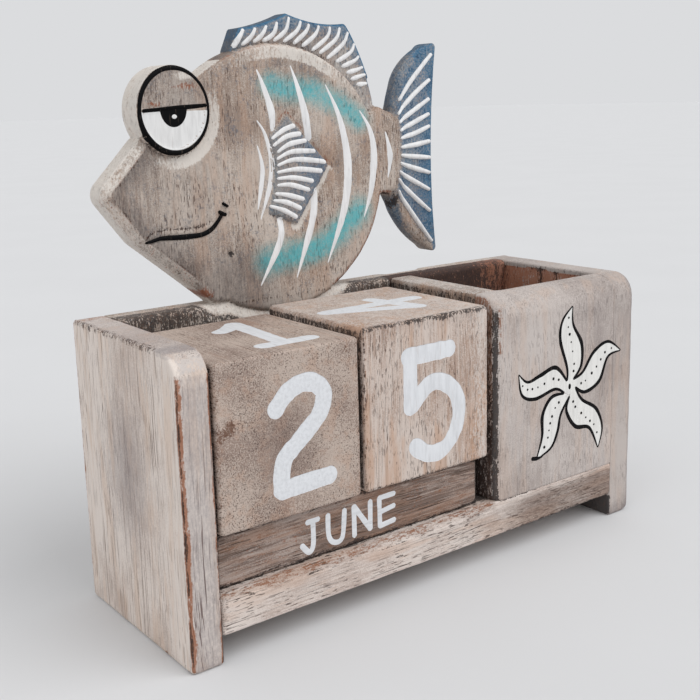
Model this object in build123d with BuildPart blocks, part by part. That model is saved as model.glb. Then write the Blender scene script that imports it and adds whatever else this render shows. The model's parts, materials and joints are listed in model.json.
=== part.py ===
"""Wooden desk calendar: two date cubes on three month bars, a pencil box and a carved fish.

Millimetres. X runs along the calendar, Y from front to back, Z up.
The origin is on the table, under the middle of the case.
"""
import os

from build123d import *

os.makedirs("parts", exist_ok=True)

# Boards of the case
LEFT_END_THICKNESS = 10.0
RIGHT_END_THICKNESS = 12.5
BACK_THICKNESS = 11.0
SHELF_THICKNESS = 12.0
DIVIDER_THICKNESS = 10.0
FRONT_THICKNESS = 10.0
FOOT_HEIGHT = 8.5
PENCIL_WIDTH = 48.5
RIM_RADIUS = 8.0
LEFT_FOOT_RADIUS = 1.2
RIGHT_FOOT_RADIUS = 5.0
RIGHT_RIM_RADIUS = 4.0
FRONT_CORNER_RADIUS = 3.0
SHELF_WEAR_DEPTH = 3.0
SHELF_WEAR_DROP = 2.0

# Date cubes, which stand side by side on the bars
TENS_CUBE = 49.0
UNITS_CUBE = 51.0
CUBE_EDGE = 1.0
CUBE_RECESS = 0.5
CUBE_BACK_GAP = 2.5
CUBE_SIDE_GAP = 1.0
CUBE_GAP = 1.5
BAY_SPARE = 3.0
CUBE_BELOW_RIM = 2.0

# Month bars, one behind the other on the shelf
BAR_NAMES = ("rear", "middle", "front")
BAR_GAP = 0.3
BAR_RECESS = 3.6
BAR_SIDE_GAP = 1.0
BAR_END_SPARE = 5.5
BAR_EDGE = 0.8

# Fish: a round body that dips below the rim, places measured from the body's centre
FISH_FROM_LEFT = 61.0
BODY_RADIUS = 43.5
BELLY_DIP = 5.5
BODY_RECESS = 1.2
RING_WIDTH = 6.0
RING_DEPTH = 2.5
EYE_HALF_WIDTH = 12.5
EYE_HALF_HEIGHT = 13.6
EYE_AT = (-37.9, 23.4)
CHEEK_AT = (-49.0, 15.0)
SNOUT_TIP = (-64.2, -0.7)
SNOUT_RADIUS = 5.0
MOUTH_CORNER = (-52.4, -16.4)
CHIN_BASE_X = -26.2
FIN_RECESS = 3.0

# Dorsal fin: turn round the body's centre in degrees, and rise above the body's edge
DORSAL_FRONT_BASE = (110.0, 0.5)
DORSAL_FRONT_TOP = (104.0, 6.2)
DORSAL_FRONT_SAG = (96.3, 6.2)
DORSAL_PEAK = (83.0, 10.2)
DORSAL_REAR_SAG = (71.5, 9.9)
DORSAL_REAR_TOP = (59.2, 15.3)
DORSAL_REAR_EDGE = (45.3, 9.3)
DORSAL_REAR_BASE = (28.5, 4.2)

# Tail: places measured from the rearmost point of the body's circle
ROOT_UPPER = (5.6, 20.6)
ROOT_BULGE = (7.2, 6.0)
ROOT_LOWER = (4.6, -8.6)
TAIL_UPPER_WAIST = (8.6, 31.0)
TAIL_UPPER_EDGE = (14.8, 39.4)
TAIL_UPPER_TIP = (27.0, 44.8)
TAIL_REAR_EDGE = (24.3, 8.0)
TAIL_LOWER_TIP = (26.4, -31.6)
TAIL_LOWER_EDGE = (12.6, -22.4)
TAIL_TIP_RADIUS = 1.5

# Pectoral fin
FIN_TOP = (3.7, 20.6)
FIN_TIP = (19.3, 3.9)
FIN_BOTTOM = (6.0, -15.0)
FIN_HEEL = (-4.8, -10.5)
FIN_ROOT = (-1.8, 3.4)
FIN_SHOULDER = (-3.6, 13.8)

# Panel pins
NAIL_RADIUS = 0.8
NAIL_LENGTH = 25.0
NAIL_HEAD_RADIUS = 1.5
NAIL_HEAD_HEIGHT = 1.2
NAIL_CLEARANCE = 0.05
NAIL_TIP_GAP = 0.3
SHELF_NAIL_INSET = 14.0
UPRIGHT_NAIL_LOW = 22.0
UPRIGHT_NAIL_HIGH = 16.0
BACK_NAIL_INSET = 24.0

# Sizes of the whole, worked out from the cubes and the boards
LARGEST_CUBE = max(TENS_CUBE, UNITS_CUBE)
BAY_LENGTH = CUBE_SIDE_GAP + TENS_CUBE + CUBE_GAP + UNITS_CUBE + BAY_SPARE
BAY_DEPTH = CUBE_RECESS + LARGEST_CUBE + CUBE_BACK_GAP
INNER_LENGTH = BAY_LENGTH + DIVIDER_THICKNESS + PENCIL_WIDTH
LENGTH = LEFT_END_THICKNESS + INNER_LENGTH + RIGHT_END_THICKNESS
DEPTH = BAY_DEPTH + BACK_THICKNESS
BAR_SIDE = (BAY_DEPTH - BAR_RECESS) / len(BAR_NAMES) - BAR_GAP
BAR_LENGTH = BAY_LENGTH - BAR_SIDE_GAP - BAR_END_SPARE
SHELF_TOP = FOOT_HEIGHT + SHELF_THICKNESS
CUBE_SEAT = SHELF_TOP + BAR_SIDE
RIM_HEIGHT = CUBE_SEAT + LARGEST_CUBE + CUBE_BELOW_RIM

# Faces that the boards meet at
LEFT_OUTER = -LENGTH / 2
LEFT_INNER = LEFT_OUTER + LEFT_END_THICKNESS
RIGHT_OUTER = LENGTH / 2
RIGHT_INNER = RIGHT_OUTER - RIGHT_END_THICKNESS
DIVIDER_LEFT = LEFT_INNER + BAY_LENGTH
DIVIDER_RIGHT = DIVIDER_LEFT + DIVIDER_THICKNESS
DIVIDER_MIDDLE = (DIVIDER_LEFT + DIVIDER_RIGHT) / 2
FRONT = -DEPTH / 2
BACK = DEPTH / 2
BACK_BOARD_FRONT = BACK - BACK_THICKNESS
BACK_BOARD_MIDDLE = BACK - BACK_THICKNESS / 2
BOX_FRONT_INNER = FRONT + FRONT_THICKNESS
BOX_FRONT_MIDDLE = FRONT + FRONT_THICKNESS / 2
SHELF_MIDDLE = FOOT_HEIGHT + SHELF_THICKNESS / 2
INNER_MIDDLE = (LEFT_INNER + RIGHT_INNER) / 2

# The fish is drawn on the back of its plank, seen from the front
BODY_HEIGHT = BODY_RADIUS - BELLY_DIP
FISH_X = LEFT_INNER + FISH_FROM_LEFT
fish_back = Plane(
    origin=(FISH_X, BACK, RIM_HEIGHT + BODY_HEIGHT), x_dir=(1, 0, 0), z_dir=(0, -1, 0)
)
fish_front = fish_back.offset(BACK_THICKNESS)

LOW_CORNER = (Align.MIN, Align.MIN, Align.MIN)


def round_the_body(place):
    """Point at a turn round the body's centre and a rise above its edge."""
    turn, rise = place
    return Vector(BODY_RADIUS + rise, 0).rotate(Axis.Z, turn)


def behind_the_body(place):
    """Point measured from the rearmost point of the body's circle."""
    along, up = place
    return Vector(BODY_RADIUS + along, up)


def seats(points, outward):
    """Planes on a board's face where nails are driven, facing outward."""
    return [Plane(origin=point, z_dir=outward) for point in points]


def drill_heads(places):
    """Holes with a sunk seat for each nail's head, in the board that takes the heads."""
    with Locations(*places):
        CounterBoreHole(
            radius=NAIL_RADIUS + NAIL_CLEARANCE,
            counter_bore_radius=NAIL_HEAD_RADIUS + NAIL_CLEARANCE,
            counter_bore_depth=NAIL_HEAD_HEIGHT,
            depth=NAIL_LENGTH + NAIL_TIP_GAP,
        )


def drill_tips(places):
    """Holes for the nails' tips, in the board behind."""
    with Locations(*places):
        Hole(radius=NAIL_RADIUS + NAIL_CLEARANCE, depth=NAIL_LENGTH + NAIL_TIP_GAP)


def drive_nails(places):
    """Nails whose heads lie flush with the board."""
    hanging = (Align.CENTER, Align.CENTER, Align.MAX)
    with Locations(*places):
        Cylinder(NAIL_RADIUS, NAIL_LENGTH, align=hanging)
        Cylinder(NAIL_HEAD_RADIUS, NAIL_HEAD_HEIGHT, align=hanging)


# Where the nails go
shelf_nail_ys = (FRONT + SHELF_NAIL_INSET, BACK_BOARD_FRONT - SHELF_NAIL_INSET)
upright_nail_zs = (SHELF_TOP + UPRIGHT_NAIL_LOW, RIM_HEIGHT - UPRIGHT_NAIL_HIGH)
back_nail_xs = (LEFT_INNER + BACK_NAIL_INSET, INNER_MIDDLE, RIGHT_INNER - BACK_NAIL_INSET)
box_nail_xs = (DIVIDER_RIGHT + SHELF_NAIL_INSET, RIGHT_INNER - SHELF_NAIL_INSET)

left_shelf_seats = seats([(LEFT_OUTER, y, SHELF_MIDDLE) for y in shelf_nail_ys], (-1, 0, 0))
left_back_seats = seats([(LEFT_OUTER, BACK_BOARD_MIDDLE, z) for z in upright_nail_zs], (-1, 0, 0))
right_shelf_seats = seats([(RIGHT_OUTER, y, SHELF_MIDDLE) for y in shelf_nail_ys], (1, 0, 0))
right_back_seats = seats([(RIGHT_OUTER, BACK_BOARD_MIDDLE, z) for z in upright_nail_zs], (1, 0, 0))
right_front_seats = seats([(RIGHT_OUTER, BOX_FRONT_MIDDLE, z) for z in upright_nail_zs], (1, 0, 0))
back_shelf_seats = seats([(x, BACK, SHELF_MIDDLE) for x in back_nail_xs], (0, 1, 0))
back_divider_seats = seats([(DIVIDER_MIDDLE, BACK, z) for z in upright_nail_zs], (0, 1, 0))
under_front_seats = seats([(x, BOX_FRONT_MIDDLE, FOOT_HEIGHT) for x in box_nail_xs], (0, 0, -1))
under_divider_seats = seats([(DIVIDER_MIDDLE, y, FOOT_HEIGHT) for y in shelf_nail_ys], (0, 0, -1))

# Left end board
with BuildPart() as left_end_board:
    with BuildSketch(Plane.YZ.offset(LEFT_OUTER)) as end_outline:
        Rectangle(DEPTH, RIM_HEIGHT, align=(Align.CENTER, Align.MIN))
        fillet(end_outline.vertices().group_by(Axis.Y)[-1].sort_by(Axis.X)[0], RIM_RADIUS)
    extrude(amount=LEFT_END_THICKNESS)
    bottom_edges = left_end_board.edges().filter_by(Axis.Y).group_by(Axis.Z)[0]
    fillet(bottom_edges.sort_by(Axis.X)[0], LEFT_FOOT_RADIUS)
    drill_heads(left_shelf_seats + left_back_seats)
left_end_board.part.label = "left_end_board"
export_step(left_end_board.part, "parts/left_end_board.step")

# Right end board, with its outer edge rounded over the rim and down the front
with BuildPart() as right_end_board:
    with BuildSketch(Plane.YZ.offset(RIGHT_INNER)) as end_outline:
        Rectangle(DEPTH, RIM_HEIGHT, align=(Align.CENTER, Align.MIN))
        fillet(end_outline.vertices().group_by(Axis.Y)[-1].sort_by(Axis.X)[0], RIM_RADIUS)
    extrude(amount=RIGHT_END_THICKNESS)
    bottom_edges = right_end_board.edges().filter_by(Axis.Y).group_by(Axis.Z)[0]
    fillet(bottom_edges.sort_by(Axis.X)[-1], RIGHT_FOOT_RADIUS)
    outer_edges = right_end_board.faces().sort_by(Axis.X)[-1].edges()
    rim_edges = outer_edges.filter_by(
        lambda edge: edge.center().Z > SHELF_TOP and edge.center().Y < BACK_BOARD_FRONT
    )
    fillet(rim_edges, RIGHT_RIM_RADIUS)
    drill_heads(right_shelf_seats + right_back_seats + right_front_seats)
right_end_board.part.label = "right_end_board"
export_step(right_end_board.part, "parts/right_end_board.step")

# Base shelf, with its front edge worn away in front of the bars
with BuildPart() as base_shelf:
    with Locations((LEFT_INNER, FRONT, FOOT_HEIGHT)):
        Box(INNER_LENGTH, BAY_DEPTH, SHELF_THICKNESS, align=LOW_CORNER)
    with BuildSketch(Plane.YZ.offset(LEFT_INNER)):
        with BuildLine():
            Polyline(
                (FRONT, SHELF_TOP - SHELF_WEAR_DROP),
                (FRONT + SHELF_WEAR_DEPTH, SHELF_TOP),
                (FRONT, SHELF_TOP),
                close=True,
            )
        make_face()
    extrude(amount=BAY_LENGTH, mode=Mode.SUBTRACT)
    drill_heads(under_front_seats + under_divider_seats)
    drill_tips(left_shelf_seats + right_shelf_seats + back_shelf_seats)
base_shelf.part.label = "base_shelf"
export_step(base_shelf.part, "parts/base_shelf.step")

# Outlines of the fish
with BuildSketch() as head:
    with BuildLine():
        Polyline(
            (CHIN_BASE_X, -BODY_HEIGHT),
            MOUTH_CORNER,
            SNOUT_TIP,
            CHEEK_AT,
            EYE_AT,
            (0, 0),
            (0, -BODY_HEIGHT),
            close=True,
        )
    make_face()
    fillet(head.vertices().sort_by(Axis.X)[0], SNOUT_RADIUS)

with BuildSketch() as dorsal_fin:
    with BuildLine():
        Line((0, 0), round_the_body(DORSAL_FRONT_BASE))
        Line(round_the_body(DORSAL_FRONT_BASE), round_the_body(DORSAL_FRONT_TOP))
        ThreePointArc(
            round_the_body(DORSAL_FRONT_TOP),
            round_the_body(DORSAL_FRONT_SAG),
            round_the_body(DORSAL_PEAK),
        )
        ThreePointArc(
            round_the_body(DORSAL_PEAK),
            round_the_body(DORSAL_REAR_SAG),
            round_the_body(DORSAL_REAR_TOP),
        )
        ThreePointArc(
            round_the_body(DORSAL_REAR_TOP),
            round_the_body(DORSAL_REAR_EDGE),
            round_the_body(DORSAL_REAR_BASE),
        )
        Line(round_the_body(DORSAL_REAR_BASE), (0, 0))
    make_face()

with BuildSketch() as tail_root:
    with BuildLine():
        Line((0, 0), behind_the_body(ROOT_LOWER))
        ThreePointArc(
            behind_the_body(ROOT_LOWER), behind_the_body(ROOT_BULGE), behind_the_body(ROOT_UPPER)
        )
        Line(behind_the_body(ROOT_UPPER), round_the_body(DORSAL_REAR_BASE))
        Line(round_the_body(DORSAL_REAR_BASE), (0, 0))
    make_face()

with BuildSketch() as tail_fin:
    with BuildLine():
        Line(behind_the_body(ROOT_UPPER), behind_the_body(TAIL_UPPER_WAIST))
        ThreePointArc(
            behind_the_body(TAIL_UPPER_WAIST),
            behind_the_body(TAIL_UPPER_EDGE),
            behind_the_body(TAIL_UPPER_TIP),
        )
        ThreePointArc(
            behind_the_body(TAIL_UPPER_TIP),
            behind_the_body(TAIL_REAR_EDGE),
            behind_the_body(TAIL_LOWER_TIP),
        )
        ThreePointArc(
            behind_the_body(TAIL_LOWER_TIP),
            behind_the_body(TAIL_LOWER_EDGE),
            behind_the_body(ROOT_LOWER),
        )
        Line(behind_the_body(ROOT_LOWER), behind_the_body(ROOT_UPPER))
    make_face()
    fillet(tail_fin.vertices().sort_by(Axis.X)[-2:], TAIL_TIP_RADIUS)

with BuildSketch() as pectoral_fin:
    with BuildLine():
        Polyline(FIN_SHOULDER, FIN_TOP, FIN_TIP, FIN_BOTTOM, FIN_HEEL)
        ThreePointArc(FIN_HEEL, FIN_ROOT, FIN_SHOULDER)
    make_face()

# Back board and fish, sawn from one plank and carved on the front
with BuildPart() as fish_back_board:
    with BuildSketch(fish_back):
        with Locations((LEFT_INNER - FISH_X, -BODY_HEIGHT)):
            Rectangle(INNER_LENGTH, RIM_HEIGHT - FOOT_HEIGHT, align=(Align.MIN, Align.MAX))
        Circle(BODY_RADIUS)
        with Locations(EYE_AT):
            Ellipse(EYE_HALF_WIDTH, EYE_HALF_HEIGHT)
        add(head.sketch)
        add(dorsal_fin.sketch)
        add(tail_root.sketch)
        add(tail_fin.sketch)
    extrude(amount=BACK_THICKNESS)
    with BuildSketch(fish_front):
        add(dorsal_fin.sketch)
        add(tail_fin.sketch)
        add(tail_root.sketch, mode=Mode.SUBTRACT)
        Circle(BODY_RADIUS, mode=Mode.SUBTRACT)
    extrude(amount=-FIN_RECESS, mode=Mode.SUBTRACT)
    with BuildSketch(fish_front):
        Circle(BODY_RADIUS)
        add(head.sketch)
        add(tail_root.sketch)
        add(pectoral_fin.sketch, mode=Mode.SUBTRACT)
        with Locations(EYE_AT):
            Ellipse(EYE_HALF_WIDTH, EYE_HALF_HEIGHT, mode=Mode.SUBTRACT)
    extrude(amount=-BODY_RECESS, mode=Mode.SUBTRACT)
    with BuildSketch(fish_front):
        Circle(BODY_RADIUS + RING_WIDTH)
        Circle(BODY_RADIUS, mode=Mode.SUBTRACT)
        with Locations((0, -BODY_HEIGHT)):
            Rectangle(LENGTH, LENGTH, align=(Align.CENTER, Align.MIN), mode=Mode.SUBTRACT)
    extrude(amount=-RING_DEPTH, mode=Mode.SUBTRACT)
    drill_heads(back_shelf_seats + back_divider_seats)
    drill_tips(left_back_seats + right_back_seats)
fish_back_board.part.label = "fish_back_board"
export_step(fish_back_board.part, "parts/fish_back_board.step")

# Divider between the cubes and the pencil box
with BuildPart() as pencil_box_divider:
    with Locations((DIVIDER_LEFT, BOX_FRONT_INNER, SHELF_TOP)):
        Box(
            DIVIDER_THICKNESS,
            BACK_BOARD_FRONT - BOX_FRONT_INNER,
            RIM_HEIGHT - SHELF_TOP,
            align=LOW_CORNER,
        )
    drill_tips(back_divider_seats + under_divider_seats)
pencil_box_divider.part.label = "pencil_box_divider"
export_step(pencil_box_divider.part, "parts/pencil_box_divider.step")

# Front of the pencil box, with the same rounded rim as the end boards
with BuildPart() as pencil_box_front:
    with BuildSketch(Plane.YZ.offset(DIVIDER_LEFT)) as front_outline:
        with Locations((FRONT, SHELF_TOP)):
            Rectangle(FRONT_THICKNESS, RIM_HEIGHT - SHELF_TOP, align=(Align.MIN, Align.MIN))
        fillet(front_outline.vertices().group_by(Axis.Y)[-1].sort_by(Axis.X)[0], RIM_RADIUS)
    extrude(amount=RIGHT_INNER - DIVIDER_LEFT)
    upright_edges = pencil_box_front.edges().filter_by(Axis.Z).group_by(Axis.Y)[0]
    fillet(upright_edges.sort_by(Axis.X)[0], FRONT_CORNER_RADIUS)
    drill_tips(right_front_seats + under_front_seats)
pencil_box_front.part.label = "pencil_box_front"
export_step(pencil_box_front.part, "parts/pencil_box_front.step")

# Date cubes
TENS_X = LEFT_INNER + CUBE_SIDE_GAP
UNITS_X = TENS_X + TENS_CUBE + CUBE_GAP
for cube_name, cube_x, cube_side in (("tens", TENS_X, TENS_CUBE), ("units", UNITS_X, UNITS_CUBE)):
    with BuildPart(Plane.XY.offset(CUBE_SEAT)) as date_cube:
        with Locations((cube_x, FRONT + CUBE_RECESS)):
            Box(cube_side, cube_side, cube_side, align=LOW_CORNER)
        fillet(date_cube.edges(), CUBE_EDGE)
    date_cube.part.label = f"{cube_name}_cube"
    export_step(date_cube.part, f"parts/{cube_name}_cube.step")

# Month bars, from the rear one forward
for bar_number, bar_name in enumerate(BAR_NAMES):
    bar_back = BACK_BOARD_FRONT - BAR_GAP - bar_number * (BAR_SIDE + BAR_GAP)
    with BuildPart(Plane.XY.offset(SHELF_TOP)) as month_bar:
        with Locations((LEFT_INNER + BAR_SIDE_GAP, bar_back - BAR_SIDE)):
            Box(BAR_LENGTH, BAR_SIDE, BAR_SIDE, align=LOW_CORNER)
        fillet(month_bar.edges(), BAR_EDGE)
    month_bar.part.label = f"month_bar_{bar_name}"
    export_step(month_bar.part, f"parts/month_bar_{bar_name}.step")

# Panel pins, in one group for each board that takes their heads
nail_groups = {
    "left_end_nails": left_shelf_seats + left_back_seats,
    "right_end_nails": right_shelf_seats + right_back_seats + right_front_seats,
    "back_board_nails": back_shelf_seats + back_divider_seats,
    "shelf_nails": under_front_seats + under_divider_seats,
}
for group_name, group_seats in nail_groups.items():
    with BuildPart() as nails:
        drive_nails(group_seats)
    nails.part.label = group_name
    export_step(nails.part, f"parts/{group_name}.step")
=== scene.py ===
"""Finish of a wooden desk calendar: washed boards, a carved and painted fish, date cubes and month bars.

Meshes are worked out in millimetres, in the frame of the CAD model, and written in metres.
"""
import json
import logging
import math
from dataclasses import dataclass, field, replace
from enum import Enum
from typing import Callable, Sequence

import bpy
import numpy as np
from mathutils import Matrix, Vector, geometry, kdtree, noise

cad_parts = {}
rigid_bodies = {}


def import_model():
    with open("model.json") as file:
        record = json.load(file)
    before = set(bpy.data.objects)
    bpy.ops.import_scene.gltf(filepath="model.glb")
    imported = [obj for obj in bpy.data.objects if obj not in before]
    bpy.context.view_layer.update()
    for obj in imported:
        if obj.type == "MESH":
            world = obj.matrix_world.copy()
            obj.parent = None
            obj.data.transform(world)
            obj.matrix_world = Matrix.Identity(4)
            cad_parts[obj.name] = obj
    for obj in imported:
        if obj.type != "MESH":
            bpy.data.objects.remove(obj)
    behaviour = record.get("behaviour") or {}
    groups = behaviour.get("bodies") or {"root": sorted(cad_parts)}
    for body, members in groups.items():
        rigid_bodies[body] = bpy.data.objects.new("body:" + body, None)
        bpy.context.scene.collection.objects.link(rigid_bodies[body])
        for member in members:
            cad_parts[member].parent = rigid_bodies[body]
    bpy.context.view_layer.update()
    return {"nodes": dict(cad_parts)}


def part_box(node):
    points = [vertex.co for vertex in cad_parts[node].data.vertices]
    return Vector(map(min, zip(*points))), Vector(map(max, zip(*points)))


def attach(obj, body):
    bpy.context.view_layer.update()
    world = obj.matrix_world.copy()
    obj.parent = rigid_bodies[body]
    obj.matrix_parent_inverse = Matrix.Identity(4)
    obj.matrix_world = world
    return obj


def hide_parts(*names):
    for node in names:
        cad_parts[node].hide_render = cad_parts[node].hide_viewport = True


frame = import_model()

MM = 0.001
LOG = logging.getLogger("desk_calendar")

Colour = tuple[float, float, float]
Place = tuple[float, float]
Path = Sequence[Place]
Faces = list[tuple[int, ...]]
Array = np.ndarray
Measure = Callable[[Array], Array]
Strength = Array | float


def srgb(red: int, green: int, blue: int) -> Colour:
    """Linear colour of a paint given as sRGB from 0 to 255."""
    return tuple(((c / 255 + 0.055) / 1.055) ** 2.4 if c > 10 else c / 3294.6 for c in (red, green, blue))


def ease(low: float, high: float, value: Array) -> Array:
    """Smooth step from 0 at low to 1 at high."""
    t = np.clip((value - low) / (high - low), 0.0, 1.0)
    return t * t * (3.0 - 2.0 * t)


def near(value: Array, target: float, width: float) -> Array:
    """Bell that is 1 where the value is the target and fades over the width."""
    return np.exp(-(((value - target) / width) ** 2))


def spot(x: Array, z: Array, place: Place, half: Place) -> Array:
    """Soft oval that is 1 at its place and fades over its half width and half height."""
    return near(x, place[0], half[0]) * near(z, place[1], half[1])


def most(*strengths: Array) -> Array:
    """Strongest of several strengths, at each point."""
    return np.maximum.reduce(strengths)


def even(value: float) -> Measure:
    """Measure that is the same everywhere."""
    return lambda points: np.full(len(points), value)


def wander(points: Array, wavelength: float, seed: float) -> Array:
    """Smooth noise from -1 to 1 at points of two or three coordinates.

    Args:
        points: Places in millimetres.
        wavelength: Size of the noise's features in millimetres.
        seed: Shift that makes one noise differ from another.

    Returns:
        One value for each point.
    """
    flat = np.zeros((len(points), 3))
    flat[:, : points.shape[1]] = points
    flat = flat / wavelength + seed * 17.13
    return np.array([noise.noise(p) for p in flat.tolist()])


class Facing(Enum):
    """Where a board's front looks: across, up and into the board."""

    FRONT = ((1, 0, 0), (0, 0, 1), (0, 1, 0))
    BACK = ((-1, 0, 0), (0, 0, 1), (0, -1, 0))
    LEFT = ((0, -1, 0), (0, 0, 1), (1, 0, 0))
    RIGHT = ((0, 1, 0), (0, 0, 1), (-1, 0, 0))
    TOP = ((1, 0, 0), (0, 1, 0), (0, 0, -1))
    BOTTOM = ((1, 0, 0), (0, -1, 0), (0, 0, 1))

    def to_space(self, flat: Array, depth: Array) -> Array:
        """Points of the frame for places on the face at a depth along the inward axis."""
        across, up, into = np.array(self.value, float)
        return flat[:, :1] * across + flat[:, 1:2] * up + np.asarray(depth)[:, None] * into

    def span(self, low: Array, high: Array) -> list[list[float]]:
        """Lower and higher end of a box along each of the three axes."""
        return [sorted((float(low @ axis), float(high @ axis))) for axis in np.array(self.value, float)]


class Grain(Enum):
    """Order in which the axes feed the wood, so that its fibres run along the last one."""

    ALONG_X = ("Y", "Z", "X")
    ALONG_Y = ("Z", "X", "Y")
    ALONG_Z = ("X", "Y", "Z")


@dataclass
class Shape:
    """A mesh under construction, in millimetres.

    Attributes:
        points: Vertices.
        faces: Vertex numbers of each face, anticlockwise seen from outside.
        worn: For each vertex, 1 on an arris or on a stroke's border and 0 far from it.
    """

    points: Array
    faces: Faces
    worn: Array

    @staticmethod
    def joined(shapes: Sequence["Shape"]) -> "Shape":
        """One shape that holds the others.

        Args:
            shapes: The others.

        Returns:
            The joined shape.
        """
        starts = np.cumsum([0] + [len(s.points) for s in shapes[:-1]])
        faces = [tuple(i + int(a) for i in f) for s, a in zip(shapes, starts) for f in s.faces]
        return Shape(np.vstack([s.points for s in shapes]), faces, np.hstack([s.worn for s in shapes]))

    def make(self, name: str, colours: dict[str, Array] | None = None) -> bpy.types.Object:
        """Mesh object of the shape, at the origin of the frame.

        Args:
            name: Name of the piece.
            colours: Attributes of four numbers for each vertex.

        Returns:
            The object, linked to the scene and shaded smooth.
        """
        mesh = bpy.data.meshes.new(name)
        mesh.from_pydata((self.points * MM).tolist(), [], self.faces)
        mesh.polygons.foreach_set("use_smooth", [True] * len(mesh.polygons))
        worn = mesh.attributes.new("worn", "FLOAT", "POINT")
        worn.data.foreach_set("value", self.worn.astype(np.float32))
        for key, values in (colours or {}).items():
            layer = mesh.attributes.new(key, "FLOAT_COLOR", "POINT")
            layer.data.foreach_set("color", values.astype(np.float32).ravel())
        mesh.update()
        piece = bpy.data.objects.new(name, mesh)
        bpy.context.scene.collection.objects.link(piece)
        return piece


def dress(piece: bpy.types.Object, material: bpy.types.Material, body: str, slot: str, *nodes: str) -> None:
    """Give a piece its finish and its place in the frame.

    Args:
        piece: The finished mesh object.
        material: Its finish.
        body: CAD body that it moves with.
        slot: Material slot of the record; not used.
        *nodes: CAD nodes that it stands for.
    """
    if not piece.data.materials:
        piece.data.materials.append(material)
    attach(piece, body)
    if nodes:
        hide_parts(*nodes)
    LOG.info("%s: %d faces on %s", piece.name, len(piece.data.polygons), body)


def corners(node: str) -> tuple[Array, Array]:
    """Low and high corner of a CAD node in millimetres."""
    low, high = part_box(node)
    return np.array(low) / MM, np.array(high) / MM


# Outlines and distances on a face


def circle(turns: Array) -> Array:
    """Points of the unit circle at turns in degrees."""
    return np.column_stack([np.cos(np.radians(turns)), np.sin(np.radians(turns))])


def lattice(low: Place, high: Place, step: float) -> Array:
    """Square grid of points from a low corner up to a high one."""
    columns, rows = (np.arange(a, b, step) for a, b in zip(low, high))
    return np.stack(np.meshgrid(columns, rows), -1).reshape(-1, 2)


def rounded(low: Place, high: Place, radii: Sequence[float]) -> Array:
    """Rectangle with rounded corners.

    Args:
        low: Lower left corner.
        high: Upper right corner.
        radii: Corner radii from the lower left one, anticlockwise.

    Returns:
        Points of the outline, anticlockwise.
    """
    quarter = np.linspace(180, 270, 7)
    ways = (((low[0], low[1]), (1, 1)), ((high[0], low[1]), (-1, 1)),
            ((high[0], high[1]), (-1, -1)), ((low[0], high[1]), (1, -1)))
    arcs = []
    for number, ((corner, inward), radius) in enumerate(zip(ways, radii)):
        arcs.append(np.array(corner) + radius * (np.array(inward) + circle(quarter + 90 * number)))
    return np.vstack(arcs)


def spaced(path: Array, step: float, closed: bool) -> Array:
    """Points at even steps along a path of straight runs.

    Args:
        path: Its corners.
        step: Spacing.
        closed: Whether the last corner joins the first.

    Returns:
        The points.
    """
    run = np.vstack([path, path[:1]]) if closed else path
    lengths = np.hstack([0, np.cumsum(np.hypot(*np.diff(run, axis=0).T))])
    count = max(4, int(round(lengths[-1] / step)))
    at = np.linspace(0, lengths[-1], count + 1)[: count if closed else None]
    return np.column_stack([np.interp(at, lengths, run[:, 0]), np.interp(at, lengths, run[:, 1])])


def curved(path: Path, closed: bool = False, steps: int = 12) -> Array:
    """Smooth curve through the points of a path.

    Args:
        path: Its points.
        closed: Whether the last joins the first.
        steps: Points on each span.

    Returns:
        The points of the curve.
    """
    points = np.array(path, float)
    if len(points) < 3:
        return points
    ends = (points[-1:], points[:2]) if closed else (points[:1], points[-1:])
    padded = np.vstack([ends[0], points, ends[1]])
    t = np.linspace(0, 1, steps, endpoint=False)[:, None]
    spans = []
    for a, b, c, d in zip(padded, padded[1:], padded[2:], padded[3:]):
        bend, twist = 2 * a - 5 * b + 4 * c - d, 3 * b - 3 * c + d - a
        spans.append(0.5 * (2 * b + (c - a) * t + bend * t**2 + twist * t**3))
    return np.vstack(spans if closed else [*spans, points[-1:]])


def reach(points: Array, start: Array, run: Array) -> Array:
    """Distance of points from a straight run, which is one for all or one for each."""
    t = np.clip(((points - start) * run).sum(-1) / np.maximum((run * run).sum(-1), 1e-9), 0, 1)
    return np.hypot(*(points - start - t[:, None] * run).T)


def beside(points: Array, path: Array) -> Array:
    """Distance from an open path."""
    return np.minimum.reduce([reach(points, a, b - a) for a, b in zip(path, path[1:])])


def outside(points: Array, outline: Path) -> Array:
    """Distance from an outline, negative inside it.

    Args:
        points: Places to measure.
        outline: Its corners.

    Returns:
        One distance for each place.
    """
    loop = np.array(outline, float)
    loop = np.vstack([loop, loop[:1]])
    inside = np.zeros(len(points), bool)
    x, y = points.T
    for a, b in zip(loop, loop[1:]):
        with np.errstate(divide="ignore", invalid="ignore"):
            inside ^= ((a[1] > y) != (b[1] > y)) & (x < a[0] + (y - a[1]) * (b - a)[0] / (b - a)[1])
    distance = beside(points, loop)
    return np.where(inside, -distance, distance)


def triangulated(cloud: Array, count: int) -> tuple[Array, Faces, Array]:
    """Triangles over a flat face.

    Args:
        cloud: Points of the face, of which the first run round its border.
        count: Number of border points.

    Returns:
        Points and triangles, and the place of each border point among the points.
    """
    given = [Vector(p) for p in cloud.tolist()]
    flat, _, faces, origin, _, _ = geometry.delaunay_2d_cdt(given, [], [list(range(count))], 1, 1e-5)
    place = {source: number for number, sources in enumerate(origin) for source in sources}
    border = np.array([place[source] for source in range(count)])
    return np.array([(p.x, p.y) for p in flat]), [tuple(f) for f in faces], border


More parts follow.
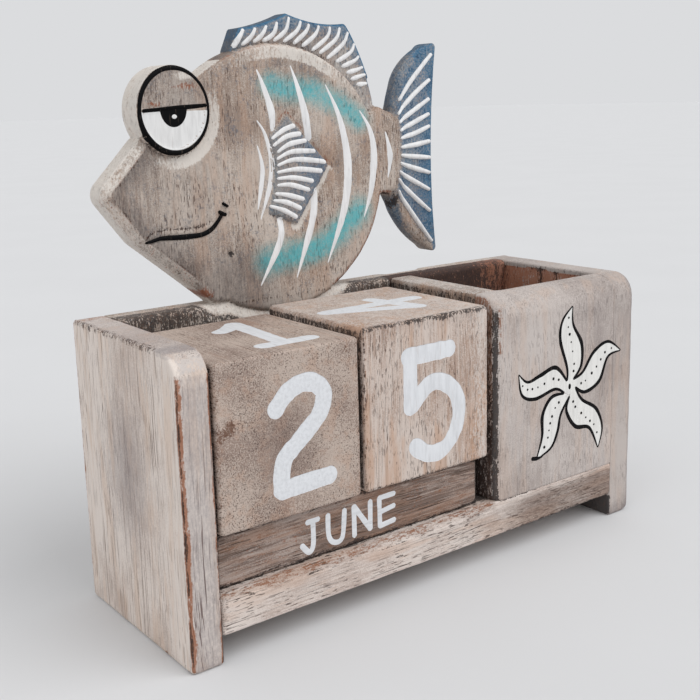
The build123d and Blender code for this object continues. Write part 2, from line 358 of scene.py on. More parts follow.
class Rim:
    """Border of a board's face, which tells how far points lie from it."""

    def __init__(self, loop: Array) -> None:
        """Keep the border in a search tree.

        Args:
            loop: Its points, anticlockwise.
        """
        self.loop = loop
        self.tree = kdtree.KDTree(len(loop))
        for number, (x, y) in enumerate(loop):
            self.tree.insert((x, y, 0.0), number)
        self.tree.balance()

    def measure(self, points: Array) -> tuple[Array, Array]:
        """Distance from the border.

        Args:
            points: Places on the face.

        Returns:
            Distance and number of the nearest border point, for each place.
        """
        nearest = np.array([self.tree.find((x, y, 0.0))[1] for x, y in points.tolist()], int)
        before, here, after = (self.loop[(nearest + shift) % len(self.loop)] for shift in (-1, 0, 1))
        return np.minimum(reach(points, before, here - before), reach(points, here, after - here)), nearest

    def inward(self) -> Array:
        """Ways from the border into the face.

        Returns:
            Unit vector at each border point.
        """
        along = np.roll(self.loop, -1, axis=0) - np.roll(self.loop, 1, axis=0)
        along /= np.maximum(np.hypot(*along.T), 1e-9)[:, None]
        return np.column_stack([-along[:, 1], along[:, 0]])


@dataclass
class Board:
    """A board with worn arrises, built over the outline of its front face.

    Attributes:
        facing: Where the front looks.
        outline: Border of the front, anticlockwise seen from the front.
        front: Place of the front along the inward axis.
        back: Place of the back along the inward axis.
        front_arris: Radius of the front arris at border points.
        back_arris: Radius of the back arris at border points.
        chamfer: Share from 0 to 1 by which the front arris is a flat chamfer, at border points.
        relief: Depth of the carving on the front.
        border_step: Spacing of points along the border.
        face_step: Spacing of points over the front.
        marks: More points of the front, where the carving needs them.
        wear: Share by which the arris radius wanders.
        seed: Shift of the wear.
    """

    facing: Facing
    outline: Array
    front: float
    back: float
    front_arris: Measure = even(0.9)
    back_arris: Measure = even(0.9)
    chamfer: Measure = even(0.0)
    relief: Measure = even(0.0)
    border_step: float = 1.2
    face_step: float = 2.6
    marks: Array | None = None
    wear: float = 0.3
    seed: float = 0.0
    rim: Rim = field(init=False)

    BENDS = (15.0, 32.0, 52.0, 72.0, 90.0)
    MARGINS = (0.5, 1.2)
    WALL_STEP = 1.7
    FADE = 1.5
    SLOPE = 0.8
    CROWD = 0.16
    FOLDED = 0.93
    WAVES = (17.0, 4.5, 7.0)
    CHIPPED = 0.42

    @classmethod
    def block(
        cls, facing: Facing, low: Array, high: Array, radii: Sequence[float], **rest: object
    ) -> "Board":
        """Board that fills a box, with the radii of its outline's corners and its other attributes."""
        (left, right), (foot, top), (front, back) = facing.span(low, high)
        return cls(facing, rounded((left, foot), (right, top), radii), front, back, **rest)

    def __post_init__(self) -> None:
        """Space out the border and wear its arrises."""
        self.rim = Rim(spaced(self.outline, self.border_step, True))
        self.radius = {
            True: self._worn_radius(self.front_arris, 0.0),
            False: self._worn_radius(self.back_arris, 3.0),
        }
        self.slope = self.chamfer(self.rim.loop)

    def _worn_radius(self, arris: Measure, shift: float) -> Array:
        """Radius of an arris with slow and quick wear and a few chips.

        Args:
            arris: Radius before the wear.
            shift: Shift of the wear's noise.

        Returns:
            Radius at each border point.
        """
        loop = self.rim.loop
        radius = arris(loop)
        for _ in range(3):
            radius = (np.roll(radius, 1) + 2 * radius + np.roll(radius, -1)) / 4
        slow, quick, rough = (
            wander(loop, wave, self.seed + shift + number) for number, wave in enumerate(self.WAVES)
        )
        chips = np.maximum(rough - self.CHIPPED, 0.0)
        return radius * (1 + self.wear * (0.6 * slow + 0.5 * quick + 2.2 * chips))

    def _drop(self, distance: Array, nearest: Array, front: bool) -> Array:
        """Depth that the arris takes away.

        Args:
            distance: Distances from the border.
            nearest: Numbers of the nearest border points.
            front: Whether it is the front arris.

        Returns:
            One depth for each distance.
        """
        radius = self.radius[front][nearest]
        gap = np.maximum(radius - distance, 0.0)
        bend = radius - np.sqrt(np.maximum(radius**2 - gap**2, 0.0))
        if not front:
            return bend
        slope = self.slope[nearest]
        return bend * (1 - slope) + self.SLOPE * gap * slope

    def surface(self, flat: Array) -> Array:
        """Depth of the front below its highest plane, at places on it."""
        return self.relief(flat) + self._drop(*self.rim.measure(flat), True)

    def _face(self, front: bool) -> tuple[Array, Faces, Array]:
        """Flat triangulation of a face.

        Args:
            front: Whether it is the front.

        Returns:
            Points, triangles and the places of the border points.
        """
        loop, inward, radius = self.rim.loop, self.rim.inward(), self.radius[front]
        clouds = [loop]
        aways = [radius * (1 - math.cos(math.radians(bend))) for bend in self.BENDS]
        for away in aways + [radius + margin for margin in self.MARGINS]:
            ring = loop + inward * away[:, None]
            clouds.append(ring[self.rim.measure(ring)[0] > away * self.FOLDED])
        grid = lattice(loop.min(0) + self.face_step / 2, loop.max(0), self.face_step)
        if front and self.marks is not None:
            grid = np.vstack([self.marks, grid])
        distance, nearest = self.rim.measure(grid)
        clear = np.maximum(radius[nearest] + 0.3 * self.border_step, 0.4 * self.border_step)
        return triangulated(self._thinned(np.vstack([*clouds, grid[distance > clear]])), len(loop))

    def _thinned(self, cloud: Array) -> Array:
        """Leave out points that crowd earlier ones.

        Args:
            cloud: Points, of which the border's come first.

        Returns:
            The border's points and the others that stay.
        """
        cells = np.floor(cloud / (self.CROWD * self.border_step)).astype(int)
        first = np.unique(cells, axis=0, return_index=True)[1]
        return cloud[np.union1d(np.arange(len(self.rim.loop)), first)]

    def build(self) -> Shape:
        """Build the front, the back and the wall between them.

        Returns:
            Closed mesh of the board.
        """
        caps, edges = [], []
        for front in (True, False):
            flat, faces, place = self._face(front)
            distance, nearest = self.rim.measure(flat)
            drop = self._drop(distance, nearest, front)
            depth = self.front + self.relief(flat) + drop if front else self.back - drop
            worn = np.exp(-((distance / (self.FADE + self.radius[front][nearest])) ** 2))
            faces = faces if front else [f[::-1] for f in faces]
            caps.append(Shape(self.facing.to_space(flat, depth), faces, worn))
            edges.append((place, depth[place]))
        return self._closed(*caps, *edges)

    def _closed(self, front: Shape, back: Shape, front_edge: tuple, back_edge: tuple) -> Shape:
        """Join the front and the back by the wall.

        Args:
            front: Mesh of the front.
            back: Mesh of the back.
            front_edge: Places and depths of the front's border points.
            back_edge: The same for the back.

        Returns:
            The closed mesh.
        """
        (front_place, near_depth), (back_place, far_depth) = front_edge, back_edge
        shift, count = len(front.points), len(self.rim.loop)
        deep, ends = float((far_depth - near_depth).mean()), np.array(self.MARGINS)
        inner = np.linspace(ends[-1], deep - ends[-1], max(2, int(deep / self.WALL_STEP)))
        points, worn, ids = [front.points, back.points], [front.worn, back.worn], [front_place]
        total = shift + len(back.points)
        for share in np.unique(np.hstack([ends, inner, deep - ends])) / deep:
            depth = near_depth + (far_depth - near_depth) * share
            points.append(self.facing.to_space(self.rim.loop, depth))
            worn.append(near(np.minimum(depth - near_depth, far_depth - depth), 0.0, self.FADE))
            ids.append(np.arange(total, total + count))
            total += count
        ids.append(back_place + shift)
        faces = list(front.faces) + [tuple(i + shift for i in f) for f in back.faces]
        for here, there in zip(ids, ids[1:]):
            quads = np.column_stack([here, there, np.roll(there, -1), np.roll(here, -1)])
            faces.extend(map(tuple, quads.tolist()))
        return Shape(np.vstack(points), faces, np.hstack(worn))


@dataclass
class Brush:
    """Lays paint on a face, as thin closed films that follow its carving.

    Attributes:
        facing: Where the face looks.
        level: Place of the face along its inward axis.
        surface: Depth of the carving at places on the face.
        lift: Height of the paint above the wood.
        seed: Shift of the brush's wander.
        layer: Height by which each film lies above the one before it.
    """

    facing: Facing
    level: float
    surface: Measure = even(0.0)
    lift: float = 0.1
    seed: float = 0.0
    layer: float = 0.015

    ACROSS = (-1.0, -0.92, -0.6, 0.0, 0.6, 0.92, 1.0)
    SINK = 0.25
    OVERRUN = 0.42
    FRINGE = 0.6

    def _film(self, flat: Array, faces: Faces, borders: list[list[int]], worn: Array) -> Shape:
        """Closed film over a flat mesh.

        Args:
            flat: Places of its points on the face.
            faces: Its faces.
            borders: Its outer border, anticlockwise, and its inner one, clockwise.
            worn: Nearness of each point to the film's edge.

        Returns:
            The film.
        """
        depth = self.level + self.surface(flat)
        top = self.facing.to_space(flat, depth - self.lift * (1 - worn**4))
        bottom = self.facing.to_space(flat, depth + self.SINK)
        count = len(flat)
        sides = [(a, a + count, b + count, b) for loop in borders for a, b in zip(loop, loop[1:] + loop[:1])]
        under = [tuple(i + count for i in f[::-1]) for f in faces]
        self.lift += self.layer
        return Shape(np.vstack([top, bottom]), list(faces) + under + sides, np.hstack([worn, worn]))

    def stroke(
        self, path: Path, widths: Sequence[float], closed: bool = False, step: float = 0.45,
        blunt: bool = False
    ) -> Shape:
        """One stroke with rounded ends.

        Args:
            path: Points that the brush passes through.
            widths: Widths at even steps from the start to the end.
            closed: Whether the stroke ends where it starts.
            step: Spacing of the rows along it.
            blunt: Whether the round ends reach past the path's ends.

        Returns:
            The film of the stroke.
        """
        line = curved(path, closed)
        if blunt and not closed:
            for end, after, width in ((0, 1, widths[0]), (-1, -2, widths[-1])):
                way = line[end] - line[after]
                line[end] += way / np.hypot(*way) * width * self.OVERRUN
        line = spaced(line, step, closed)
        if closed:
            line = np.vstack([line, line[:1]])
        along = np.gradient(line, axis=0)
        if closed:
            along[0] = along[-1] = along[0] + along[-1]
        along /= np.maximum(np.hypot(*along.T), 1e-9)[:, None]
        side = np.column_stack([-along[:, 1], along[:, 0]])
        share = np.linspace(0, 1, len(line))
        half = np.interp(share, np.linspace(0, 1, len(widths)), widths) / 2
        half *= 1 + 0.09 * wander(line, 2.4, self.seed) + 0.06 * wander(line, 6.0, self.seed + 1)
        if not closed:
            end = np.minimum(share, 1 - share) * np.hypot(*np.diff(line, axis=0).T).sum()
            half *= np.sqrt(np.clip(1 - (1 - np.clip(end / np.maximum(half, 1e-3), 0, 1)) ** 2, 0.004, 1))
        across, rows, wide = np.array(self.ACROSS), len(line), len(self.ACROSS)
        flat = (line[:, None, :] - side[:, None, :] * (half[:, None] * across)[:, :, None]).reshape(-1, 2)
        number = np.arange(rows * wide).reshape(rows, wide)
        worn = np.tile(np.abs(across), rows)
        if closed:
            number[-1] = number[0]
            flat, worn = flat[:-wide], worn[:-wide]
        quads = np.stack([number[1:, :-1], number[1:, 1:], number[:-1, 1:], number[:-1, :-1]], -1)
        faces = [tuple(quad) for quad in quads.reshape(-1, 4).tolist()]
        left, right = number[:, 0].tolist(), number[:, -1].tolist()
        if closed:
            return self._film(flat, faces, [left[:-1][::-1], right[:-1]], worn)
        worn.reshape(rows, wide)[[0, -1]] = 1.0
        border = left + number[-1, 1:-1].tolist() + right[::-1] + number[0, 1:-1].tolist()[::-1]
        return self._film(flat, faces, [border[::-1]], worn)

    def sign(
        self, strokes: Sequence[Path], move: Measure, widths: Sequence[float], step: float = 0.45
    ) -> list[Shape]:
        """Films of a numeral or a letter.

        Args:
            strokes: Paths of the brush, closed where one ends at its start.
            move: Places on the face from points of the paths.
            widths: Widths along each stroke.
            step: Spacing of the rows along a stroke.

        Returns:
            One film for each stroke.
        """
        films = []
        for path in strokes:
            closed, points = path[0] == path[-1], move(np.array(path, float))
            films.append(self.stroke(points[:-1] if closed else points, widths, closed, step, blunt=True))
        return films

    def patch(self, outline: Array, step: float = 0.8) -> Shape:
        """Film of paint that fills an outline.

        Args:
            outline: Border points, anticlockwise.
            step: Spacing of the points.

        Returns:
            The film.
        """
        loop = spaced(outline, step * 0.7, True)
        rim = Rim(loop)
        rings = [loop + rim.inward() * away for away in (0.25, self.FRINGE)]
        cloud = np.vstack([*rings, lattice(loop.min(0), loop.max(0), step)])
        cloud = cloud[(rim.measure(cloud)[0] > 0.2) & (outside(cloud, loop) < 0)]
        flat, faces, border = triangulated(np.vstack([loop, cloud]), len(loop))
        worn = np.clip(1 - rim.measure(flat)[0] / self.FRINGE, 0, 1)
        return self._film(flat, faces, [border.tolist()], worn)


# Finishes


class Wire:
    """One output of a node tree, which can be used in expressions."""

    def __init__(self, tree: "Tree", socket: bpy.types.NodeSocket) -> None:
        """Keep the socket and the tree it belongs to."""
        self.tree, self.socket = tree, socket

    def _math(self, operation: str, first: "Wire | float", second: "Wire | float") -> "Wire":
        """Result of a Math node."""
        return self.tree.wire("ShaderNodeMath", {"operation": operation}, {0: first, 1: second})

    def __add__(self, other: "Wire | float") -> "Wire":
        """Sum."""
        return self._math("ADD", self, other)

    def __sub__(self, other: "Wire | float") -> "Wire":
        """Difference."""
        return self._math("SUBTRACT", self, other)

    def __rsub__(self, other: float) -> "Wire":
        """Difference from a number on the left."""
        return self._math("SUBTRACT", other, self)

    def __mul__(self, other: "Wire | float") -> "Wire":
        """Product."""
        return self._math("MULTIPLY", self, other)

    __radd__, __rmul__ = __add__, __mul__

    def step(self, low: float, high: float, way: str = "SMOOTHSTEP") -> "Wire":
        """Smooth step from 0 at low to 1 at high."""
        ends = {"Value": self, "From Min": low, "From Max": high}
        return self.tree.wire("ShaderNodeMapRange", {"interpolation_type": way}, ends)

    def stretch(self, low: float, high: float) -> "Wire":
        """Linear step from 0 at low to 1 at high, kept between the two."""
        return self.step(low, high, "LINEAR")


class Tree:
    """Builds a node tree."""

    def __init__(self, tree: bpy.types.NodeTree) -> None:
        """Keep the tree and empty it."""
        self.tree = tree
        tree.nodes.clear()

    def node(self, kind: str, settings: dict | None = None, sockets: dict | None = None) -> bpy.types.Node:
        """Add a node.

        Args:
            kind: Type of the node.
            settings: Its own settings, set first.
            sockets: Values or wires of its inputs, by name or number.

        Returns:
            The node.
        """
        made = self.tree.nodes.new(kind)
        for key, value in (settings or {}).items():
            setattr(made, key, value)
        for key, value in (sockets or {}).items():
            if isinstance(value, Wire):
                self.tree.links.new(value.socket, made.inputs[key])
            elif isinstance(value, tuple) and made.inputs[key].type == "RGBA":
                made.inputs[key].default_value = (*value, 1.0)
            else:
                made.inputs[key].default_value = value
        return made

    def wire(
        self, kind: str, settings: dict | None = None, sockets: dict | None = None, output: int | str = 0
    ) -> Wire:
        """Add a node and take one of its outputs."""
        return Wire(self, self.node(kind, settings, sockets).outputs[output])


class Bench(Tree):
    """Builds the node tree of one material."""

    def __init__(self, name: str) -> None:
        """Make an empty material.

        Args:
            name: Its name.
        """
        self.material = bpy.data.materials.new(name)
        self.material.use_nodes = True
        super().__init__(self.material.node_tree)

    def mix(self, low: Wire | Colour, high: Wire | Colour, amount: Wire | float) -> Wire:
        """Blend of two colours."""
        settings = {"data_type": "RGBA", "blend_type": "MIX", "clamp_factor": True}
        return self.wire("ShaderNodeMix", settings, {0: amount, 6: low, 7: high}, 2)

    def noise(self, vector: Wire, scale: float, detail: float = 2.0, rough: float = 0.5) -> Wire:
        """Noise from about 0.2 to 0.8 at a scale per millimetre."""
        sockets = {"Vector": vector, "Scale": scale, "Detail": detail, "Roughness": rough}
        return self.wire("ShaderNodeTexNoise", {}, sockets, "Fac")

    def squeeze(self, vector: Wire, across: float, along: float) -> Wire:
        """Places scaled across and along the fibres."""
        return self.wire("ShaderNodeMapping", {}, {"Vector": vector, "Scale": (across, across, along)})

    def streaks(self, vector: Wire, across: float, along: float, detail: float, rough: float = 0.5) -> Wire:
        """Noise with its own scales across and along the fibres."""
        return self.noise(self.squeeze(vector, across, along), 1.0, detail, rough)

    def attribute(self, name: str) -> tuple[Wire, Wire, Wire, Wire]:
        """Channels of a colour attribute.

        Args:
            name: Its name.

        Returns:
            The four channels.
        """
        source = self.node("ShaderNodeAttribute", {"attribute_name": name})
        parts = self.node("ShaderNodeSeparateColor", {}, {"Color": Wire(self, source.outputs["Color"])})
        return tuple(Wire(self, socket) for socket in (*parts.outputs[:3], source.outputs["Alpha"]))

    def fibres(self, grain: Grain, seed: float) -> Wire:
        """Places in millimetres, with the fibres along the last axis.

        Args:
            grain: Way of the fibres.
            seed: Shift of the pattern.

        Returns:
            The places.
        """
        place = self.wire("ShaderNodeTexCoord", {}, {}, "Object")
        parts = self.node("ShaderNodeSeparateXYZ", {}, {"Vector": place})
        axes = {number: Wire(self, parts.outputs[axis]) for number, axis in enumerate(grain.value)}
        turned = self.wire("ShaderNodeCombineXYZ", {}, axes)
        shift = (seed * 37.1, seed * 21.7, seed * 53.3)
        sockets = {"Vector": turned, "Location": shift, "Scale": (1 / MM,) * 3}
        return self.wire("ShaderNodeMapping", {}, sockets)

    def finish(
        self, colour: Wire, roughness: Wire | float, height: Wire, depth: float, shine: float
    ) -> bpy.types.Material:
        """Close the tree with a Principled shader and a bump.

        Args:
            colour: Base colour.
            roughness: Roughness.
            height: Height of the bump from 0 to 1.
            depth: Depth of the bump in millimetres.
            shine: Level of the mirror light.

        Returns:
            The material.
        """
        normal = self.wire("ShaderNodeBump", {}, {"Strength": 1.0, "Distance": depth * MM, "Height": height})
        sockets = {"Base Color": colour, "Roughness": roughness, "Normal": normal}
        shader = self.wire("ShaderNodeBsdfPrincipled", {}, {**sockets, "Specular IOR Level": shine})
        self.node("ShaderNodeOutputMaterial", {}, {"Surface": shader})
        return self.material


@dataclass(frozen=True)
class Wood:
    """Washed wood, with stains and painted shade that its mesh carries as an attribute.

    Attributes:
        name: Name of the finish.
        grain: Direction of the fibres.
        wash: Pale wash that lies on the wood.
        timber: Wood where the wash is thin.
        vein: Dark veins and pores.
        cover: Share of the surface that the wash covers.
        streaks: Strength of the long streaks.
        pores: Strength of the short dark pores.
        dash: Pores along the fibres, per millimetre.
        hairs: Strength of the long dark lines.
        grit: Strength of the fine mottling.
        blush: Warm tone of the wood and its strength.
        char_and_shade: Colour of scorched arrises, also laid as painted shade in gaps and hollows.
        rust: Colour of bare brown arrises.
        chalk: Colour of thick pale wash.
        smudge_and_shade: Colour of soft dark smudges, also laid as painted shade on walls and round a hole.
        seed: Shift of the pattern.
    """

    name: str
    grain: Grain
    wash: Colour
    timber: Colour
    vein: Colour = srgb(66, 50, 43)
    cover: float = 0.5
    streaks: float = 0.6
    pores: float = 0.7
    dash: float = 0.3
    hairs: float = 0.5
    grit: float = 0.9
    blush: tuple[Colour, float] = (srgb(196, 158, 132), 0.35)
    char_and_shade: Colour = srgb(38, 36, 38)
    rust: Colour = srgb(134, 82, 48)
    chalk: Colour = srgb(214, 209, 205)
    smudge_and_shade: Colour = srgb(112, 104, 103)
    seed: float = 0.0

    ROUGH = 0.72
    BUMP = 0.2
    SHINE = 0.3

    def base(self, bench: Bench) -> tuple[Wire, Wire, Wire]:
        """Washed wood before its stains.

        Args:
            bench: Tree that gets the nodes.

        Returns:
            Colour, pores and fibres.
        """
        place = bench.fibres(self.grain, self.seed)
        bend = bench.noise(bench.squeeze(place, 1.0, 0.35), 0.03)
        lean = bench.wire("ShaderNodeCombineXYZ", {}, {0: (bend - 0.5) * 7.0, 1: (0.5 - bend) * 5.0})
        place = bench.wire("ShaderNodeVectorMath", {"operation": "ADD"}, {0: place, 1: lean})
        streak = bench.streaks(place, 0.42, 0.012, 4.0, 0.62)
        fibre = bench.streaks(place, 1.9, 0.08, 3.0, 0.62)
        fleck = bench.noise(place, 2.4, 2.0, 0.8)
        dash = bench.streaks(place, 2.3, self.dash, 1.0, 0.4)
        hair = bench.streaks(place, 2.8, 0.022, 1.0, 0.4)
        pore = dash.step(0.62, 0.66) * bench.noise(place, 0.09, 1.0).step(0.3, 0.62)
        line = hair.step(0.635, 0.67) * bench.streaks(place, 0.12, 0.018, 1.0).step(0.36, 0.56)
        cover = (bench.noise(place, 0.034, 3.0, 0.55) - 0.5) * 1.5 + (streak - 0.5) * (1.5 * self.streaks)
        cover = cover + (fibre - 0.5) * (0.4 + self.streaks) + (fleck - 0.5) * self.grit + self.cover
        colour = bench.mix(self.timber, self.wash, cover.step(0.26, 0.74))
        warm = (bench.streaks(place, 0.16, 0.03, 3.0, 0.6) + (streak - 0.5) * 0.6).step(0.46, 0.66)
        colour = bench.mix(colour, self.blush[0], warm * self.blush[1])
        dark = streak.step(0.56, 0.72) * (0.3 * self.streaks) + pore * self.pores + line * self.hairs
        colour = bench.mix(colour, self.vein, dark)
        return colour, pore, fibre * 0.5 + fleck * 0.25 + streak * 0.25

    def tinted(self, bench: Bench, colour: Wire, pore: Wire) -> Wire:
        """Colour with what is brushed over the wash: nothing on plain boards."""
        return colour

    def stained_and_shaded(self, bench: Bench, colour: Wire) -> Wire:
        """Smudged, chalky, bare and scorched places, and painted shade laid with the smudges and the scorch.

        Args:
            bench: Tree that gets the nodes.
            colour: Colour below them.

        Returns:
            The stained colour.
        """
        char_and_shade, rust, chalk, smudge_and_shade = bench.attribute("stain_and_shade")
        place = bench.fibres(self.grain, self.seed + 4.0)
        coarse = bench.streaks(place, 0.5, 0.16, 3.0, 0.65) - 0.5
        fine = bench.streaks(place, 2.0, 0.5, 2.0, 0.6) - 0.5
        speck = bench.noise(place, 1.7, 2.0, 0.7) - 0.5
        ragged = coarse * 0.8 + fine * 1.1 + speck * 0.8
        # Smudge colour, which also lays painted shade on the fish's side walls, round its nail hole and at
        # the right end's foot.
        colour = bench.mix(colour, self.smudge_and_shade, (smudge_and_shade + ragged * 0.7).stretch(0.12, 1.1) * 0.8)
        colour = bench.mix(colour, self.chalk, (chalk + ragged * 0.8).step(0.34, 0.72) * 0.85)
        colour = bench.mix(colour, self.rust, (rust + ragged).step(0.36, 0.74) * 0.8)
        # Scorch colour, which also lays painted shade in gaps, inside the pencil box and under the shelf.
        scorch = bench.mix(self.char_and_shade, self.vein, (fine + speck).step(0.0, 0.25))
        return bench.mix(colour, scorch, (char_and_shade + ragged * 1.1).step(0.42, 0.66) * 0.88)

    def material(self) -> bpy.types.Material:
        """Build the wood's nodes.

        Returns:
            The material.
        """
        bench = Bench(self.name)
        colour, pore, fibre = self.base(bench)
        colour = self.stained_and_shaded(bench, self.tinted(bench, colour, pore))
        return bench.finish(colour, self.ROUGH + fibre * 0.2, fibre - pore * 0.7, self.BUMP, self.SHINE)


@dataclass(frozen=True)
class FishWood(Wood):
    """Washed wood of the fish, with watercolour on its body and fins."""

    turquoise: Colour = srgb(80, 180, 188)
    blue: Colour = srgb(54, 108, 142)
    navy: Colour = srgb(26, 54, 84)
    slate: Colour = srgb(88, 106, 120)

    ROUGH = 0.68

    def tinted(self, bench: Bench, colour: Wire, pore: Wire) -> Wire:
        """Watercolour on the wood, through which the pores show.

        Args:
            bench: Tree that gets the nodes.
            colour: Colour below it.
            pore: Strength of the pores.

        Returns:
            The tinted colour.
        """
        turquoise, blue, slate, _ = bench.attribute("watercolour")
        place = bench.fibres(self.grain, self.seed + 9.0)
        pool = bench.noise(place, 0.22, 4.0, 0.65) - 0.5
        grit = bench.noise(place, 1.4, 2.0, 0.6) - 0.5
        soft = pool + grit * 1.2
        deep = bench.mix(self.blue, self.navy, (pool + grit * 0.7).step(0.0, 0.22) * 0.7)
        colour = bench.mix(colour, self.slate, (slate + soft * 0.8).stretch(0.1, 0.95) * 0.85)
        colour = bench.mix(colour, deep, (blue + soft).stretch(0.1, 0.9) * 0.94)
        colour = bench.mix(colour, self.turquoise, (turquoise + soft * turquoise).stretch(0.08, 1.0) * 0.85)
        return bench.mix(colour, self.vein, pore * (0.6 * self.pores))


@dataclass(frozen=True)
class Paint:
    """Brushed paint, thin enough to show the pores of the wood under it.

    Attributes:
        name: Name of the finish.
        film: Colour of the paint.
        under: Wood that shows through.
        grain: Direction of the wood's fibres.
        thin: Strength with which the wood shows through.
        rough: Roughness of the film.
        gloss: Strength of the film's shine.
        seed: Shift of the pattern.
    """

    name: str
    film: Colour
    under: Colour
    grain: Grain
    thin: float = 0.35
    rough: float = 0.5
    gloss: float = 0.3
    seed: float = 0.0

    SHADE = 0.86
    BUMP = 0.07

    def material(self) -> bpy.types.Material:
        """Build the paint's nodes.

        Returns:
            The material.
        """
        bench = Bench(self.name)
        place = bench.fibres(self.grain, self.seed)
        dash = bench.streaks(place, 2.1, 0.17, 1.0, 0.4)
        pit = bench.noise(place, 1.3, 2.0, 0.7)
        streak = bench.streaks(place, 0.9, 0.12, 3.0, 0.6)
        border = bench.wire("ShaderNodeAttribute", {"attribute_name": "worn"}, {}, "Fac")
        bare = dash.step(0.68, 0.74) * 0.7 + pit.step(0.7, 0.76) * 0.5
        bare = bare + (border * (0.4 + pit * 0.9)).step(0.72, 1.1) * 0.6
        shade = bench.mix(self.film, tuple(self.SHADE * c for c in self.film), streak.step(0.35, 0.75))
        colour = bench.mix(shade, self.under, bare * self.thin)
        height = streak * 0.6 + pit * 0.4 - bare * 0.3
        return bench.finish(colour, self.rough + pit * 0.2, height, self.BUMP, self.gloss)


def painted(name: str, films: Sequence[Shape], paint: Paint, body: str, slot: str) -> bpy.types.Material:
    """Make one piece of films and dress it.

    Args:
        name: Name of the piece.
        films: Strokes and patches.
        paint: Their finish.
        body: CAD body that they move with.
        slot: Material slot of the record.

    Returns:
        The finish as a material.
    """
    piece, material = Shape.joined(films).make(name), paint.material()
    dress(piece, material, body, slot)
    return material


def wooden(
    name: str, shape: Shape, wood: Wood, owner: tuple[str, str, str], strengths: Sequence[Strength],
    **colours: Array
) -> None:
    """Make one piece of wood and dress it.

    Args:
        name: Name of the piece.
        shape: Its mesh.
        wood: Its finish.
        owner: CAD body that it moves with, material slot of the record, and CAD node that it stands for.
        strengths: Scorched, bare, chalky and smudged places, where the scorched and smudged ones also hold
            painted shade; those left out are clean.
        **colours: Other colour attributes.
    """
    clean = (0.0,) * (4 - len(strengths))
    stain_and_shade = np.column_stack([np.broadcast_to(s, len(shape.points)) for s in (*strengths, *clean)])
    piece = shape.make(name, {"stain_and_shade": np.clip(stain_and_shade, 0.0, 1.0), **colours})
    dress(piece, wood.material(), *owner)


GREY_WOOD = srgb(150, 132, 120)
BLACK = srgb(10, 10, 12)
WHITE = srgb(226, 228, 232)

LEFT_END = Wood(
    "left_end_wood", Grain.ALONG_Z, srgb(228, 217, 209), srgb(198, 182, 172), vein=srgb(98, 68, 50),
    cover=0.64, streaks=0.25, pores=0.2, dash=0.06, hairs=0.95, blush=(srgb(212, 184, 162), 0.4),
    smudge_and_shade=srgb(134, 127, 130), rust=srgb(150, 88, 48), chalk=srgb(203, 195, 191), seed=1.0,
)
SHELF = Wood(
    "shelf_wood", Grain.ALONG_X, srgb(221, 210, 203), srgb(190, 173, 164), cover=0.6, streaks=0.5,
    pores=0.75, hairs=0.6, smudge_and_shade=srgb(98, 79, 69), seed=3.0,
)
DIVIDER = Wood(
    "divider_wood", Grain.ALONG_Z, srgb(194, 184, 177), srgb(150, 131, 119), rust=srgb(112, 68, 44), seed=4.0
)
BOX_FRONT = Wood(
    "box_front_wood", Grain.ALONG_Z, srgb(199, 190, 185), srgb(168, 157, 152), cover=0.54, streaks=0.12,
    pores=0.22, hairs=0.15, blush=(srgb(198, 174, 158), 0.35), smudge_and_shade=srgb(124, 115, 116), seed=5.0,
)
RIGHT_END = replace(BOX_FRONT, name="right_end_wood", wash=srgb(191, 182, 177), rust=srgb(166, 100, 64))
FISH = FishWood(
    "fish_wood", Grain.ALONG_Z, srgb(200, 188, 178), srgb(154, 136, 124), vein=srgb(80, 58, 47), cover=0.56,
    streaks=0.35, pores=0.5, dash=0.4, hairs=0.25, grit=1.2, blush=(srgb(184, 150, 127), 0.4),
    smudge_and_shade=srgb(84, 78, 78), chalk=srgb(224, 218, 211), rust=srgb(136, 76, 46), seed=6.0,
)
TENS = Wood(
    "tens_cube_wood", Grain.ALONG_Y, srgb(194, 178, 167), srgb(142, 122, 112), cover=0.56, streaks=0.25,
    pores=0.6, dash=0.6, grit=1.5, smudge_and_shade=srgb(106, 87, 80), rust=srgb(98, 62, 42),
    blush=(srgb(180, 144, 122), 0.35), seed=7.0,
)
UNITS = Wood(
    "units_cube_wood", Grain.ALONG_Z, srgb(209, 195, 186), srgb(172, 148, 134), cover=0.57, pores=0.55,
    dash=0.4, blush=(srgb(190, 150, 122), 0.58), chalk=srgb(212, 203, 197), seed=8.0,
)
BAR = Wood(
    "month_bar_wood", Grain.ALONG_X, srgb(172, 157, 149), srgb(120, 102, 93), cover=0.47, streaks=0.8,
    pores=0.6, dash=0.15, hairs=0.8, blush=(srgb(152, 114, 90), 0.45), seed=9.0,
)
FISH_WHITE = Paint("fish_white", srgb(240, 240, 241), GREY_WOOD, Grain.ALONG_Z, thin=0.4, seed=6.0)
FISH_BLACK = replace(FISH_WHITE, name="fish_black", film=BLACK, thin=0.2, gloss=0.08)
EYE_WHITE = replace(FISH_WHITE, name="eye_white", film=srgb(232, 232, 232), thin=0.25)
EYE_BLACK = replace(FISH_BLACK, name="eye_black", thin=0.25)
EYE_GLINT = replace(FISH_WHITE, name="eye_glint", film=srgb(236, 236, 236), thin=0.1)
STAR_WHITE = Paint(
    "star_white", srgb(233, 232, 229), BOX_FRONT.wash, Grain.ALONG_Z, thin=0.2, rough=0.55, seed=5.0
)
STAR_BLACK = Paint(
    "star_black", BLACK, GREY_WOOD, Grain.ALONG_Z, thin=0.25, rough=0.42, gloss=0.08, seed=5.0
)
PIN_STEEL = Paint(
    "pin_steel", srgb(150, 140, 133), srgb(84, 74, 70), Grain.ALONG_Z, thin=0.8, rough=0.45, seed=3.0
)


